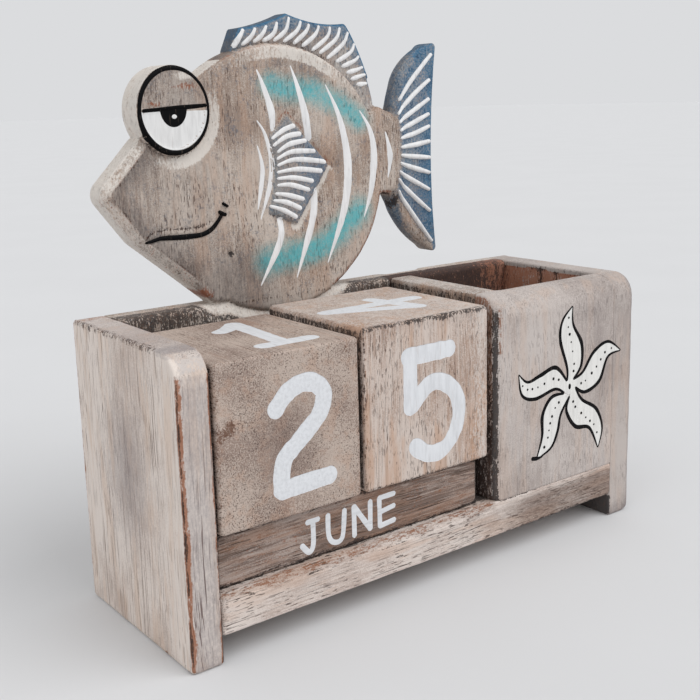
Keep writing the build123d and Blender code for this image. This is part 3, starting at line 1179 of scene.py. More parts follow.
@dataclass
class Case:
    """The open case: two end boards, the shelf between them, and the pencil box at the right end.

    Attributes:
        inset: Depth of the finish behind the front plane, which leaves room for paint.
        rim_round: Radius of the end boards' upper front corner and of the pencil box's front rim.
        left_sole: Radius of the left end board's outer lower arris.
        right_sole: Radius of the right end board's outer lower arris.
        right_rim: Radius of the right end board's outer rim.
        post_round: Radius of the pencil box's upright arris.
    """

    inset: float = 0.12
    rim_round: float = 8.0
    left_sole: float = 1.2
    right_sole: float = 5.0
    right_rim: float = 4.0
    post_round: float = 3.0

    def build(self) -> None:
        """Build and dress the five boards."""
        self.left_end()
        self.right_end()
        self.shelf()
        self.divider()
        self.box_front()

    def _finish(self, name: str, shape: Shape, wood: Wood, node: str, *strengths: Strength) -> None:
        """Dress one board of the case with the strengths of its stains and painted shade."""
        wooden(name, shape, wood, ("case", "case_wood", node), strengths)

    def left_end(self) -> None:
        """End board at the left, pale, with a rusty arris at its front and a scorched upper one."""
        low, high = corners("left_end_board")
        shape = Board.block(
            Facing.LEFT, low + (0, self.inset, 0), high, (1.0, 1.4, self.rim_round, 0.9),
            front_arris=lambda p: np.where(p[:, 1] < 2, self.left_sole, 0.8),
            back_arris=even(0.7), border_step=0.9, seed=1.0,
        ).build()
        x, y, z = shape.points.T
        across, within = x - low[0], high[0] - x
        deep, behind, below = y - low[1], high[1] - y, high[2] - z
        post = np.hypot(across, deep) * (1 + 0.4 * wander(shape.points, 9.0, 3.0))
        inside = np.hypot(within, deep) * (1 + 0.4 * wander(shape.points, 7.0, 4.0))
        under_rim = np.hypot(across, below) * (1 + 0.5 * wander(shape.points, 6.0, 5.0))
        upright, outer, face = ease(5.0, 6.2, below), ease(1.2, 0.4, across), ease(1.3, 0.6, deep)
        top = ease(0.8, 0.1, below)
        rust = 0.86 * (ease(1.9, 0.9, post) * face + ease(1.2, 0.4, inside)) * upright
        rust += 0.5 * near(behind, 3.0, 4.0) * ease(0.8, 0.2, below) + 0.5 * outer * near(behind, 0.6, 0.8)
        rust += 0.8 * outer * spot(y, z, (31.8, 42.9), (1.1, 1.5))
        rust += 0.7 * outer * (spot(y, z, (-6.4, 10.3), (1.0, 1.2)) + spot(y, z, (-16.7, 0.5), (1.6, 1.2)))
        char_and_shade = (0.8 * ease(0.9, 0.35, post) + 0.7 * ease(0.8, 0.3, inside)) * upright
        char_and_shade += 0.5 * ease(2.6, 0.9, under_rim) * ease(7.5, 14.5, deep)
        char_and_shade += 0.42 * near(within, 0.0, 0.8) * ease(1.5, 0.5, below)
        # The first term darkens the inner face below its top: painted shade in the gap beside the tens cube.
        char_and_shade += 0.6 * (within < 0.2) * ease(1.5, 4.0, below) + 0.3 * outer * ease(3.0, 0.4, z)
        patch = ease(5.7, 5.1, below) * ease(1.3, 1.9, below) * ease(9.5, 8.5, deep) * ease(1.1, 1.8, across)
        chalk = 0.6 * patch * ease(0.1, 0.6, within) + 0.34 * top + 0.34 * outer * near(below, 10.0, 8.0)
        smudge_and_shade = 0.72 * outer * spot(y, z, (1.0, 50.0), (15.0, 24.0)) + 0.6 * top + 0.4 * patch
        smudge_and_shade += 0.5 * ease(13.5, 8.5, deep) * ease(2.1, 1.2, below)
        smudge_and_shade += face * (0.7 * ease(5.0, 10.0, below) + 0.4 * near(below, 6.6, 1.2))
        self._finish("left_end", shape, LEFT_END, "left_end_board", char_and_shade, rust, chalk, smudge_and_shade)

    def right_end(self) -> None:
        """End board at the right, rounded along its outer rim."""
        low, high = corners("right_end_board")
        shape = Board.block(
            Facing.RIGHT, low + (0, self.inset, 0), high, (1.2, 1.0, 0.9, self.rim_round),
            front_arris=lambda p: np.where(
                p[:, 1] < 1, self.right_sole, np.where(p[:, 0] > high[1] - 1, 1.2, self.right_rim)
            ),
            back_arris=lambda p: np.where((p[:, 0] < -20) & (p[:, 1] > 9) & (p[:, 1] < 82), 0.2, 0.9),
            wear=0.15, seed=2.0,
        ).build()
        x, y, z = shape.points.T
        within, deep, below = x - low[0], y - low[1], high[2] - z
        outer, front, inner = ease(4.6, 1.5, high[0] - x), ease(4.5, 1.0, deep), within < 0.2
        inside = inner & (z > 20.5) & (below > 1.4) & (deep > 10.0)
        streak = wander(np.column_stack([y, 0.12 * z]), 4.5, 9.0)
        # Inside the pencil box the face darkens towards the bottom: painted shade, with scorched streaks.
        char_and_shade = inside * (0.5 * ease(62, 25, z) + 0.2 * ease(72, 86, z) + 0.4 * ease(0.05, 0.5, streak))
        char_and_shade += 0.34 * near(within, 0.0, 0.9) * ease(3.0, 1.0, below) * ease(8.5, 11.5, deep)
        # Inner face below the shelf darkened: painted shade under the shelf.
        char_and_shade += 0.5 * near(within, 0.0, 1.0) * ease(9.5, 7.5, z) + 0.5 * inner * ease(9.0, 7.0, z)
        rust = inside * ease(20, 60, z) * (0.8 + 0.5 * np.minimum(streak + 0.2, 0.0))
        chalk = 0.36 * ease(0.8, 0.1, below)
        # The last term darkens the front towards the floor: painted shade together with a smudge.
        smudge_and_shade = outer * (0.8 * front + 0.5 * ease(8.0, 2.0, below)) + 0.6 * front * ease(8.0, 1.0, z)
        self._finish("right_end", shape, RIGHT_END, "right_end_board", char_and_shade, rust, chalk, smudge_and_shade)

    def shelf(self) -> None:
        """Shelf that carries the bars and the pencil box, worn along its front."""
        low, high = corners("base_shelf")
        post = corners("pencil_box_front")[0][0]
        shape = Board.block(
            Facing.FRONT, low + (0, self.inset, 0), high, (0.3,) * 4,
            front_arris=lambda p: np.where(p[:, 1] < 10, 0.7, np.where(p[:, 0] < post, 2.6, 0.2)),
            back_arris=even(0.3),
            chamfer=lambda p: np.where((p[:, 1] > 18) & (p[:, 0] < post), 0.8, 0.0),
            border_step=1.0, face_step=1.8, seed=3.0,
        ).build()
        x, y, z = shape.points.T
        deep, below = y - low[1], high[2] - z
        bay, box, front = ease(post + 1.5, post - 1.5, x), ease(post, post + 3, x), ease(1.5, 0.5, deep)
        ragged = 1 + 0.5 * wander(shape.points, 8.0, 6.0)
        lip = ease(3.2, 1.0, below * ragged) * ease(5.0, 1.5, deep) * bay
        broken = ease(-0.1, 0.15, wander(shape.points, 14.0, 7.0))
        char_and_shade = 0.6 * near(below, 2.4, 0.5) * front * bay * broken
        char_and_shade += 0.55 * front * ease(1.6, 0.4, z - low[2]) * ease(-5, 40, x)
        # Top face behind the front lip, under the cubes, bars and pencil box: painted shade.
        char_and_shade += 0.75 * (below < 0.1) * ease(2.2, 4.5, deep)
        char_and_shade += 0.55 * front * ease(0.9, 0.2, below) * box * ease(68, 40, x)
        smudge_and_shade = 0.55 * lip + 0.9 * front * ease(post - 14, post + 22, x) * ease(20.4, 17.5, z)
        smudge_and_shade += 0.35 * front * ease(-30, 10, x) * ease(post + 4, post - 6, x) * near(z, 14.0, 4.0)
        chalk = 0.25 * front * box * ease(16.5, 18.5, z)
        self._finish("shelf", shape, SHELF, "base_shelf", char_and_shade, 0.5 * lip, chalk, smudge_and_shade)

    @staticmethod
    def _wall_arris(places: Array) -> Array:
        """Radius of the divider's arrises, which are worn along its rim."""
        return np.where(places[:, 1] > 85, 1.2, 0.2)

    def divider(self) -> None:
        """Wall between the bay and the pencil box, scorched on both sides, with painted shade deeper in the
        box.
        """
        low, high = corners("pencil_box_divider")
        shape = Board.block(
            Facing.LEFT, low, high, (0.3, 0.3, 0.15, 0.5),
            front_arris=self._wall_arris, back_arris=self._wall_arris, border_step=0.9, seed=4.0,
        ).build()
        x, y, z = shape.points.T
        under = ease(89.4, 88.4, z)
        bay, box = ease(1.2, 0.2, x - low[0]) * under, ease(1.2, 0.2, high[0] - x)
        char_and_shade = (0.52 + 0.15 * ease(0, 20, y)) * bay + 0.5 * box * near(z, 88.8, 0.8)
        # Side facing into the box, darker towards the bottom: painted shade over scorch.
        char_and_shade += (0.44 + 0.16 * ease(80, 40, z)) * box * under
        rust = 0.7 * box * under + 0.3 * bay
        self._finish("divider", shape, DIVIDER, "pencil_box_divider", char_and_shade, rust, 0.5 * ease(89.2, 89.8, z))

    def box_front(self) -> None:
        """Front of the pencil box, with a soft rim and a scorched upright arris."""
        low, high = corners("pencil_box_front")
        wall = corners("pencil_box_divider")[1][0]
        shape = Board.block(
            Facing.FRONT, low + (0, self.inset, 0), high, (0.2, 0.2, 0.2, 1.2),
            front_arris=lambda p: np.where(
                p[:, 1] > 88, self.rim_round, np.where(p[:, 0] < low[0] + 1, self.post_round, 0.15)
            ),
            back_arris=lambda p: np.where((p[:, 1] > 85) & (p[:, 0] > wall), 1.4, 0.15),
            wear=0.15, border_step=0.9, face_step=1.8, seed=5.0,
        ).build()
        x, y, z = shape.points.T
        across, deep, behind, below = x - low[0], y - low[1], high[1] - y, high[2] - z
        post = np.hypot(across - 0.9, deep - 0.9) * (1 + 0.45 * wander(shape.points, 7.0, 8.0))
        face, side, inside = ease(1.5, 0.5, deep), ease(0.6, 0.2, across), behind < 0.2
        # The second term darkens the inner face towards the bottom of the box: painted shade.
        char_and_shade = 0.8 * ease(1.5, 0.6, post) * ease(88, 84, z) + 0.5 * inside * ease(88, 60, z)
        # Left side of the upright, darker towards the bottom: painted shade over scorch.
        char_and_shade += (0.4 + 0.3 * ease(70, 40, z)) * side * ease(89, 86, z)
        char_and_shade += 0.28 * spot(behind, below, (0.0, 0.5), (1.0, 1.0))
        rust = 0.6 * ease(3.6, 1.6, post) * ease(55, 78, z) * face + 0.66 * side
        rust += 0.6 * inside * ease(60, 80, z)
        chalk = 0.42 * spot(deep, below, (7.0, 0.2), (2.5, 0.8))
        smudge_and_shade = 0.36 * (spot(x, z, (68, 79), (9.0, 4.0)) + spot(x, z, (72, 68), (6.0, 8.0)))
        smudge_and_shade += 0.35 * spot(across, z, (8.0, 78), (6.0, 7.0)) + 0.3 * ease(34, 24, z) * ease(35, 70, x)
        self._finish("box_front", shape, BOX_FRONT, "pencil_box_front", char_and_shade, rust, chalk, smudge_and_shade * face)


@dataclass
class Fish:
    """The plank at the back: it closes the case below its rim and is carved as a fish above it.

    Places are given from the middle of the body, across and up, unless they are said to be in the frame.

    Attributes:
        from_left: Distance of the body's middle from the left end board.
        height: Height of the body's middle in the frame.
        radius: Radius of the body.
        rim: Height of the case's rim in the frame.
        head: Outline of the head.
        root: Outline of the tail's root.
        pale_lobe: Bare strip on the tail's lower lobe.
        eye: Middle of the eye.
        eye_half: Half the width and half the height of the eye.
        fin: Outline of the side fin.
        turquoise: Two soft arcs of watercolour.
        mouth: Line of the mouth.
        lip: Carved line above the mouth.
        corner: Two short strokes at the end of the mouth.
        stripes: White stripes with their widths.
        side_rays: Rays of the side fin.
        back_rays: Rays of the back fin.
        tail_rays: Rays of the tail.
    """

    from_left: float = 61.0
    height: float = 128.0
    radius: float = 43.5
    rim: float = 90.0
    head: Path = ((-26.2, -38), (-52.4, -16.4), (-64.2, -0.7), (-49, 15), (-37.9, 23.4), (0, 0), (0, -38))
    root: Path = ((0, 0), (48.1, -8.6), (49.9, -1.5), (50.7, 6), (50.4, 13.5), (49.1, 20.6), (41.9, 22.8))
    pale_lobe: Path = ((50.6, -8.6), (59.2, -19.2), (67.4, -28.4), (67.4, -31), (60.4, -26.4), (54.6, -19.6))
    eye: Place = (-37.9, 23.4)
    eye_half: Place = (12.5, 13.6)
    fin: Path = (
        (-3.6, 13.8), (-2.2, 8.5), (-1.8, 3.4), (-2.6, -3), (-4.8, -10.5), (6, -15), (19.3, 3.9), (3.7, 20.6)
    )
    turquoise: Sequence[Path] = (
        ((-2.5, 30.4), (4.6, 28.9), (14.2, 28.1), (23.2, 24.6), (33.2, 18.7)),
        ((-6.6, -26.5), (3.8, -25.3), (15.9, -23.2), (26.8, -16.6), (32.2, -12.9)),
    )
    mouth: Path = (
        (-49.8, -16), (-47.5, -15.6), (-44.4, -15), (-39.1, -15.2), (-34.4, -15.3), (-30, -15.1),
        (-26.7, -13.8), (-24.2, -11.5), (-22.4, -9.2),
    )
    lip: Path = (
        (-49.7, -15.4), (-48.1, -13.6), (-45, -12.7), (-40.1, -12.5), (-34.2, -12.9), (-29.9, -12.4),
        (-26.2, -11.3),
    )
    corner: Sequence[tuple[Path, Sequence[float]]] = (
        (((-24.1, -8.3), (-21.0, -9.8)), (1.3, 1.2)),
        (((-22.6, -5.7), (-20.2, -7.2)), (1.1, 1.0)),
    )
    stripes: Sequence[tuple[Path, Sequence[float]]] = (
        (((-7.6, 35.6), (-5.6, 31.2), (-2.6, 22.7), (-1.8, 15.6)), (0.5, 1.8, 2.6, 2.4)),
        (((5.4, 36.8), (7.9, 30.4), (10.4, 22.3), (12.4, 12.1)), (0.4, 1.9, 2.9, 2.4)),
        (((19.2, 30.6), (25.1, 18.6), (27.9, 3.3), (25.7, -12), (18.2, -29.6)), (0.4, 2.4, 3.6, 2.6, 0.4)),
        (((33.3, 21.7), (37.9, 14.8), (39.4, 6.1), (37.8, -6), (34.4, -15.2)), (0.4, 2.0, 3.2, 2.2, 0.4)),
        (((44.6, 14.2), (46.7, 5.7), (45.5, -2.3)), (0.4, 2.6, 0.4)),
        (((-8.3, 19.7), (-4.9, 14.5), (-3, 7), (-3.7, -0.7), (-8.2, -12.4)), (0.4, 1.6, 2.4, 1.8, 0.4)),
        (((-8.5, 11.8), (-6.9, 5.6), (-7.1, 0.8), (-9.2, -9.1)), (0.4, 1.6, 1.8, 0.4)),
        (((-0.4, -12.1), (-1.2, -20.4), (-9.3, -34.2)), (2.4, 2.4, 0.4)),
        (((13.8, -3.2), (12.5, -13.6), (5.1, -33.3)), (2.2, 2.8, 0.4)),
    )
    side_rays: Sequence[Path] = (
        ((-2.9, 13.4), (1.8, 16.2), (6.6, 17.7)), ((-2.5, 11.1), (2.7, 14), (8.6, 14.8)),
        ((-1, 9), (3.8, 11.5), (10.6, 12.5)), ((-1.3, 6.8), (4.6, 9), (13.9, 8.8)),
        ((-1.2, 4.7), (5.9, 6.4), (18.2, 5)), ((-1.4, 2.5), (6.5, 3.2), (16.4, 2)),
        ((-1.5, 0.5), (4.9, 0.5), (12.8, -1.2)), ((-1.6, -1.7), (3.7, -1.8), (11.2, -4.1)),
        ((-2.5, -4.3), (2.5, -5.1), (8.9, -7)), ((-3.2, -6.5), (2, -7.5), (7.7, -10.1)),
        ((-4.5, -8.2), (0.9, -10.1), (5.9, -12.9)),
    )
    back_rays: Sequence[Path] = (
        ((-14.1, 42.1), (-12.2, 45.1), (-10.2, 48.2)), ((-11.2, 43), (-7.9, 45.5), (-5.8, 48.6)),
        ((-6.9, 43.9), (-3.8, 46.1), (-1.6, 49.4)), ((-3.3, 44.3), (0.7, 46.6), (2.4, 50.6)),
        ((0.9, 44.4), (5.4, 47.7), (7.2, 52.3)), ((4.7, 44.2), (9.8, 47.6), (11.7, 51.1)),
        ((8.6, 43.6), (13.3, 47.3), (14.9, 50.2)), ((12, 42.8), (17, 46.4), (18.9, 49.8)),
        ((15.9, 41.5), (21.8, 45.7), (23.5, 49.5)), ((18.9, 40.6), (25.4, 45.1), (27.6, 49.3)),
        ((22, 38.9), (28.5, 43.7), (31, 47.9)), ((25.8, 37.8), (31.6, 41), (33.4, 44.2)),
        ((28, 36.2), (33.2, 38.2), (35.3, 40)), ((30, 34.2), (34.5, 35.3), (36.9, 36.3)),
        ((31.8, 32), (35.2, 33), (38, 33.7)), ((34.1, 30.2), (36.7, 30.5), (38.9, 30.7)),
    )
    tail_rays: Sequence[Path] = (
        ((52.6, 24.4), (58.4, 31.4), (68.3, 40.9)), ((51.2, 19.6), (59.5, 26.5), (67.4, 31.9)),
        ((51.6, 16.7), (58.7, 20.5), (67.1, 25.1)), ((51.9, 13.9), (59.3, 16.6), (67, 19.7)),
        ((52, 11.2), (59.9, 12.8), (67.2, 15.3)), ((52.1, 8.1), (59.8, 8.7), (67.3, 9.8)),
        ((52, 5.4), (59.7, 4.5), (67.3, 3.8)), ((51.7, 2.7), (59, 0.5), (67.1, -1.8)),
        ((51.2, -0.2), (58.2, -3.8), (66.8, -8)), ((50.6, -2.8), (60.1, -10.7), (67, -15.9)),
        ((50.8, -6.9), (59.6, -17.8), (67.6, -27.4)),
    )

    BODY_DEPTH = 1.2
    BODY_ROUND = 1.7
    FIN_DEPTH = 3.0
    GROOVE = 2.6
    BORDER_STEP = 0.5
    RING_STEP = 0.7
    FACE_STEP = 0.62
    RIDGE = ((43, 48, 56, 95, 110), (7.5, 8.3, 10.5, 3.3, 4.0))
    CELLS = 50

    def __post_init__(self) -> None:
        """Read the silhouette from the CAD solid and lay out the board."""
        low, high = corners("fish_back_board")
        self.level, self.far = low[1], high[1]
        self.centre = (corners("left_end_board")[1][0] + self.from_left, self.height)
        outline = self._silhouette()
        self.border = Rim(spaced(outline, self.BORDER_STEP, True))
        self.board = Board(
            Facing.FRONT, outline, self.level, self.far,
            front_arris=self._arris, back_arris=lambda p: 0.9 + 3.1 * self._flank(p), chamfer=self._snout,
            relief=self.relief, border_step=0.6, face_step=2.4, marks=self._marks(), wear=0.2, seed=6.0,
        )

    def _silhouette(self) -> Array:
        """Find the longest border of the CAD solid's back face.

        Returns:
            Outline of the plank.
        """
        mesh = frame["nodes"]["fish_back_board"].data
        place = np.array([v.co for v in mesh.vertices]) / MM
        keys = [tuple(k) for k in np.round(place[:, [0, 2]] * self.CELLS).astype(int).tolist()]
        onward: dict[tuple, list[tuple]] = {}
        for polygon in mesh.polygons:
            ring = list(polygon.vertices)
            if min(place[i, 1] for i in ring) < self.far - 0.05:
                continue
            for a, b in zip(ring, ring[1:] + ring[:1]):
                if keys[b] in onward and keys[a] in onward[keys[b]]:
                    onward[keys[b]].remove(keys[a])
                elif keys[a] != keys[b]:
                    onward.setdefault(keys[a], []).append(keys[b])
        loops = []
        while any(onward.values()):
            here, loop = next(k for k, v in onward.items() if v), []
            while onward.get(here):
                loop.append(here)
                here = onward[here].pop()
            loops.append(np.array(loop) / self.CELLS)
        loop = max(loops, key=lambda p: np.hypot(*(np.roll(p, -1, axis=0) - p).T).sum())
        x, z = loop.T
        turn = (x * np.roll(z, -1) - np.roll(x, -1) * z).sum()
        return loop if turn > 0 else loop[::-1]

    def _snout(self, flat: Array) -> Array:
        """1 along the snout and the chin, where the arris is a chamfer."""
        x, up = (flat - self.centre).T
        return ease(-28, -36, x) * ease(19, 12, up) * ease(self.rim, self.rim + 4, flat[:, 1])

    def _flank(self, flat: Array) -> Array:
        """1 along the two flanks of the tail, which is thinned there from behind."""
        across = flat[:, 0] - self.centre[0]
        return ease(46.5, 49.5, across) * ease(67.5, 63.0, across)

    def _arris(self, flat: Array) -> Array:
        """Radius of the front arris along the silhouette.

        Args:
            flat: Places on the silhouette.

        Returns:
            Radius at each place.
        """
        q = flat - self.centre
        x, up = q.T
        body = np.hypot(x, up) < self.radius + 0.6
        rear = (x > 66.5) | ((x > 30) & (x < 46) & (up > 23))
        eye = np.abs(self.eye_edge(q)) < 0.6
        radius = np.where(eye, 0.8, np.where(body, 2.2, np.where(rear, 0.6, 1.4)))
        radius = np.where(self._snout(flat) > 0.5, 2.6, radius)
        radius = radius + ease(44, 46, x) * ease(53, 50, x) * (3.4 - radius)
        height = flat[:, 1] - self.rim
        return np.where(height < 1, np.where(height > -1, 1.8, 0.4), radius)

    def _marks(self) -> Array:
        """Points close together over the fish and beside the edges of its carving.

        Returns:
            The points.
        """
        low, high = self.border.loop.min(0), self.border.loop.max(0)
        ring, centre = circle(np.arange(0, 360, self.RING_STEP)), np.array(self.centre)
        clouds = [centre + ring * (self.radius + s) for s in (-0.9, -0.35, 0.0, 0.35)]
        clouds += [centre + self.eye + ring * (np.array(self.eye_half) + s) for s in (-0.5, 0.0, 0.3)]
        return np.vstack([*clouds, lattice((low[0], self.rim - 10), high, self.FACE_STEP)])

    def eye_edge(self, q: Array) -> Array:
        """Distance from the edge of the eye, negative inside it."""
        return (np.hypot(*((q - self.eye) / self.eye_half).T) - 1) * min(self.eye_half)

    def body_edge(self, q: Array) -> Array:
        """Distance from the edge of the body, head, eye and tail root, negative inside them."""
        parts = [outside(q, part) for part in (self.head, self.root)]
        return np.minimum.reduce([np.hypot(*q.T) - self.radius, self.eye_edge(q), *parts])

    def relief(self, flat: Array) -> Array:
        """Depth of the carving below the front of the plank.

        Args:
            flat: Places in the frame, across and up.

        Returns:
            Depth in millimetres at each place.
        """
        q = flat - self.centre
        x, up = q.T
        edge, eye, fin = self.body_edge(q), self.eye_edge(q), outside(q, self.fin)
        border, _ = self.border.measure(flat)
        gap = np.clip(self.BODY_ROUND + edge, 0, self.BODY_ROUND)
        bend = self.BODY_ROUND - np.sqrt(self.BODY_ROUND**2 - gap**2)
        depth = self.BODY_DEPTH + bend * ease(0.3, 1.6, border + edge) * ease(48, 44, x)
        depth += np.clip(1 - eye / 5.0, 0, 1) * (eye > 0)
        depth += np.clip(1 - fin / 4.2, 0, 1) * (fin > 0) * np.where(x < -3, 0.5, 0.95)
        depth += 0.55 * near(beside(q, curved(self.mouth)), 0.0, 0.75) * ease(-51, -48, x)
        depth += 0.3 * near(beside(q, curved(self.lip)), 0.0, 0.5)
        depth += 0.7 * np.exp(-(((x + 20.2) ** 2 + (up + 22.4) ** 2) / 0.7))
        depth = np.where(fin < 0, 1.05 - 0.95 * ease(-5, 17, x) + 0.45 * near(fin, 0.0, 0.5), depth)
        lid = up - (self.eye[1] + 0.65 + 0.054 * (x - self.eye[0]))
        globe = 0.05 + 0.5 * ease(0.25, -0.25, lid) * ease(-1.2, -2.4, eye)
        depth = np.where(eye < 0, globe + 0.7 * np.clip(1 + eye / 0.9, 0, 1) ** 2, depth)
        depth = np.where(edge > 0, self._fins(q, edge, border), depth)
        groove = self.GROOVE * np.clip(1 - edge / 6.0, 0, 1) ** 1.2
        return np.where((edge > 0) & (flat[:, 1] < self.rim + 2), groove, depth)

    def _fins(self, q: Array, edge: Array, border: Array) -> Array:
        """Depth of the back fin, with its ridge, and of the tail.

        Args:
            q: Places from the body's middle.
            edge: Distances from the body.
            border: Distances from the silhouette.

        Returns:
            Depth at each place.
        """
        x, up = q.T
        turn = np.degrees(np.arctan2(up, x))
        ridge = np.interp(turn, *self.RIDGE)
        back = self.FIN_DEPTH + np.where(edge < ridge, 0.8 * (1 - edge / ridge), 0.12 * (edge - ridge))
        tail = self.FIN_DEPTH + 0.9 * np.clip(1 - border / 2.4, 0, 1) * ease(67, 64, x)
        tail -= 1.6 * ease(6.0, 0.0, edge) * ease(44, 47, x)
        return np.where(turn > 40, back, tail)

    def build(self) -> None:
        """Build the plank and its paint, and dress them."""
        shape = self.board.build()
        flat = shape.points[:, [0, 2]]
        owner = ("case", "fish_wood", "fish_back_board")
        colours = self._watercolour(flat, shape.points[:, 1])
        wooden("fish_plank", shape, FISH, owner, self._stain_and_shade(flat, shape.points[:, 1]), watercolour=colours)
        self._lines()
        self._eye()

    def _stain_and_shade(self, flat: Array, y: Array) -> tuple[Array, ...]:
        """Scorched, bare, chalky and smudged places of the plank, with painted shade on its side walls and at
        its nail hole.

        Args:
            flat: Places of its points in the frame, across and up.
            y: Their places from front to back.

        Returns:
            The four strengths.
        """
        q, z = flat - self.centre, flat[:, 1]
        x, up = q.T
        border, nearest = self.border.measure(flat)
        edge, eye, fin = self.body_edge(q), self.eye_edge(q), outside(q, self.fin)
        turn = np.degrees(np.arctan2(up, x))
        halo = np.degrees(np.arctan2(*(q - self.eye).T[::-1]))
        hole = np.hypot(x + 20.0, up + 22.4)
        snout = self._snout(self.border.loop)[nearest]
        high, low, face = z > self.rim + 2, z < self.rim + 0.5, y < self.level + 5.5
        lid, body = (eye < 0) & face, face & (edge < 0) & (eye > 0)
        wall = (border < 0.15) & (z > self.rim + 0.5)
        board, fringe = low & (edge > 0) & face, face & (edge > 0.2) & high
        box = board & (flat[:, 0] > corners("pencil_box_divider")[0][0])
        belly = body & (turn > -80) & (turn < -8)
        lip = face * near(beside(q, curved(self.lip)), 0.0, 0.7)
        scorched = 0.5 + 0.34 * ease(78, 58, flat[:, 0])
        char_and_shade = most(
            np.where(board, np.where(box, scorched, 0.66 * ease(2.6, 4.2, edge)), 0.0),
            0.5 * spot(y, z, (self.level + 0.6, self.rim - 0.6), (1.6, 0.9)),
            0.5 * face * near(edge, 0.3, 0.6) * (edge > 0) * high,
            0.5 * body * near(eye, 0.3, 0.6) + 0.45 * body * near(fin, 0.4, 0.6),
            0.95 * spot(x, up, (50.2, -10.8), (1.6, 3.4)) * high,
            # The first term is the dark nail hole: painted shade of the hole.
            0.95 * face * ease(1.3, 0.7, hole) + 0.48 * body * snout * near(border, 3.2, 0.5),
            0.44 * fringe * (turn > 60) * ease(5.0, 2.0, edge),
            0.62 * belly * ease(1.5, 0.5, border),
            0.66 * lip,
        )
        rust = most(
            0.95 * spot(x, z, (-31.0, self.rim + 3.4), (3.2, 2.8)),
            0.4 * face * snout * near(border, 2.6, 0.7),
            0.34 * face * snout * ease(2.8, 2.2, border) * (up < -1),
            0.62 * belly * ease(3.0, 1.0, border),
            0.5 * lip,
            0.5 * body * near(fin, 1.2, 1.0) * (x > -3) * (up > 4),
            0.48 * body * near(edge, -0.4, 0.6) * (up > -30) * (x > -20),
            0.72 * lid * spot(x, up, (-33.5, 30.6), (5.0, 1.4)),
            0.7 * lid * spot(x, up, (-44.5, 25.4), (3.0, 1.1)),
            1.0 * box,
        )
        chalk = most(
            0.66 * board * ease(4.0, 2.8, edge),
            0.9 * body * ease(4.8, 3.4, eye) * near(halo, -45, 75),
            0.72 * (wall & (x < -20)),
            0.58 * face * snout * ease(3.0, 2.6, border),
            0.8 * face * near(fin, 1.1, 1.6) * (up < 4) * (x > 4),
            0.42 * ease(self.rim - 0.3, self.rim, z) * low,
            0.75 * face * spot(x, up, (-33.5, 33.7), (5.5, 1.8)) * (eye < -1),
            0.7 * body * ease(-5.2, -4.2, edge) * near(turn, 78, 42),
            0.4 * fringe * ease(7.0, 2.0, edge) * (turn > 28.5) * (x < 46),
        )
        smudge_and_shade = most(
            0.52 * body * snout * ease(12.0, 3.2, border) * (border > 2.8) + 0.36 * body * ease(-12, -30, x),
            # Grey halo round the nail hole: painted shade.
            0.55 * body * ease(4.0, 1.0, hole),
            0.78 * body * ease(15, 3, border) * ease(-8, -20, up) * ease(-4, -14, x),
            0.28 * body * near(eye, 7.0, 3.2) * near(halo, -35, 60),
            0.85 * body * near(x, -19.0, 20.0) * ease(-12, -30, up),
            0.42 * body * near(edge, -6.4, 1.6) * near(turn, 82, 36),
            0.52 * lid * (up > self.eye[1] + 0.8),
            # Side walls behind the snout darkened: painted shade.
            (wall & (x > -20)) * np.where(x > 47, 0.5, 0.8),
        )
        return char_and_shade, rust, chalk, smudge_and_shade

    def _watercolour(self, flat: Array, y: Array) -> Array:
        """Turquoise, blue and slate washes of the plank.

        Args:
            flat: Places of its points in the frame, across and up.
            y: Their places from front to back.

        Returns:
            Colour of each point, with a wash in each of its first three channels.
        """
        q, face = flat - self.centre, y < self.level + 6.0
        x, up = q.T
        edge, fin = self.body_edge(q), outside(q, self.fin)
        border, _ = self.border.measure(flat)
        turn = np.degrees(np.arctan2(up, x))
        body = face & (edge < 0)
        bands = [
            strength * near(beside(q, curved(arc)), 0.0, 4.0 * strength + 0.8) * body
            for arc, strength in zip(self.turquoise, (0.84, 1.0))
        ]
        fins = (edge > 0.1) & (flat[:, 1] > self.rim + 2) & (x > -25)
        back, tail = fins & (turn > 27), fins & ((turn <= 27) | (x > 46))
        ridge = edge / np.interp(turn, *self.RIDGE)
        upper = ease(3.4, 1.2, border) * (x < 60)
        lobe = ease(1.0, -0.5, outside(q, self.pale_lobe))
        strong = (0.66 + 0.2 * ease(8, 0, border) - 0.45 * upper) * (1 - 0.9 * lobe) * ease(0.0, 3.5, edge)
        blue = back * (0.56 * ease(0.6, 1.1, ridge) + 0.45 * ease(0.9, 0.3, border))
        blue = np.where(tail, strong, blue)
        slate = 0.2 * body * ease(-16, -4, edge) * near(turn, 80, 36)
        slate = np.where(back, 0.46 + 0.34 * ease(97, 106, turn) + 0.2 * ease(1.8, 0.5, border), slate)
        slate = np.where(tail, 0.7 * upper * (1 - 0.6 * lobe), slate)
        inside = (fin < 0.2) & face
        blue = np.where(inside, 0.46 * ease(2, 12, x), blue)
        slate = np.where(inside, 0.55 + 0.15 * ease(8, -3, x), slate)
        return np.clip(np.column_stack([most(*bands), blue, slate, np.ones(len(q))]), 0, 1)

    def _brush(self, lift: float, seed: float) -> Brush:
        """Brush on the carved front."""
        return Brush(Facing.FRONT, self.level, self.board.surface, lift, seed)

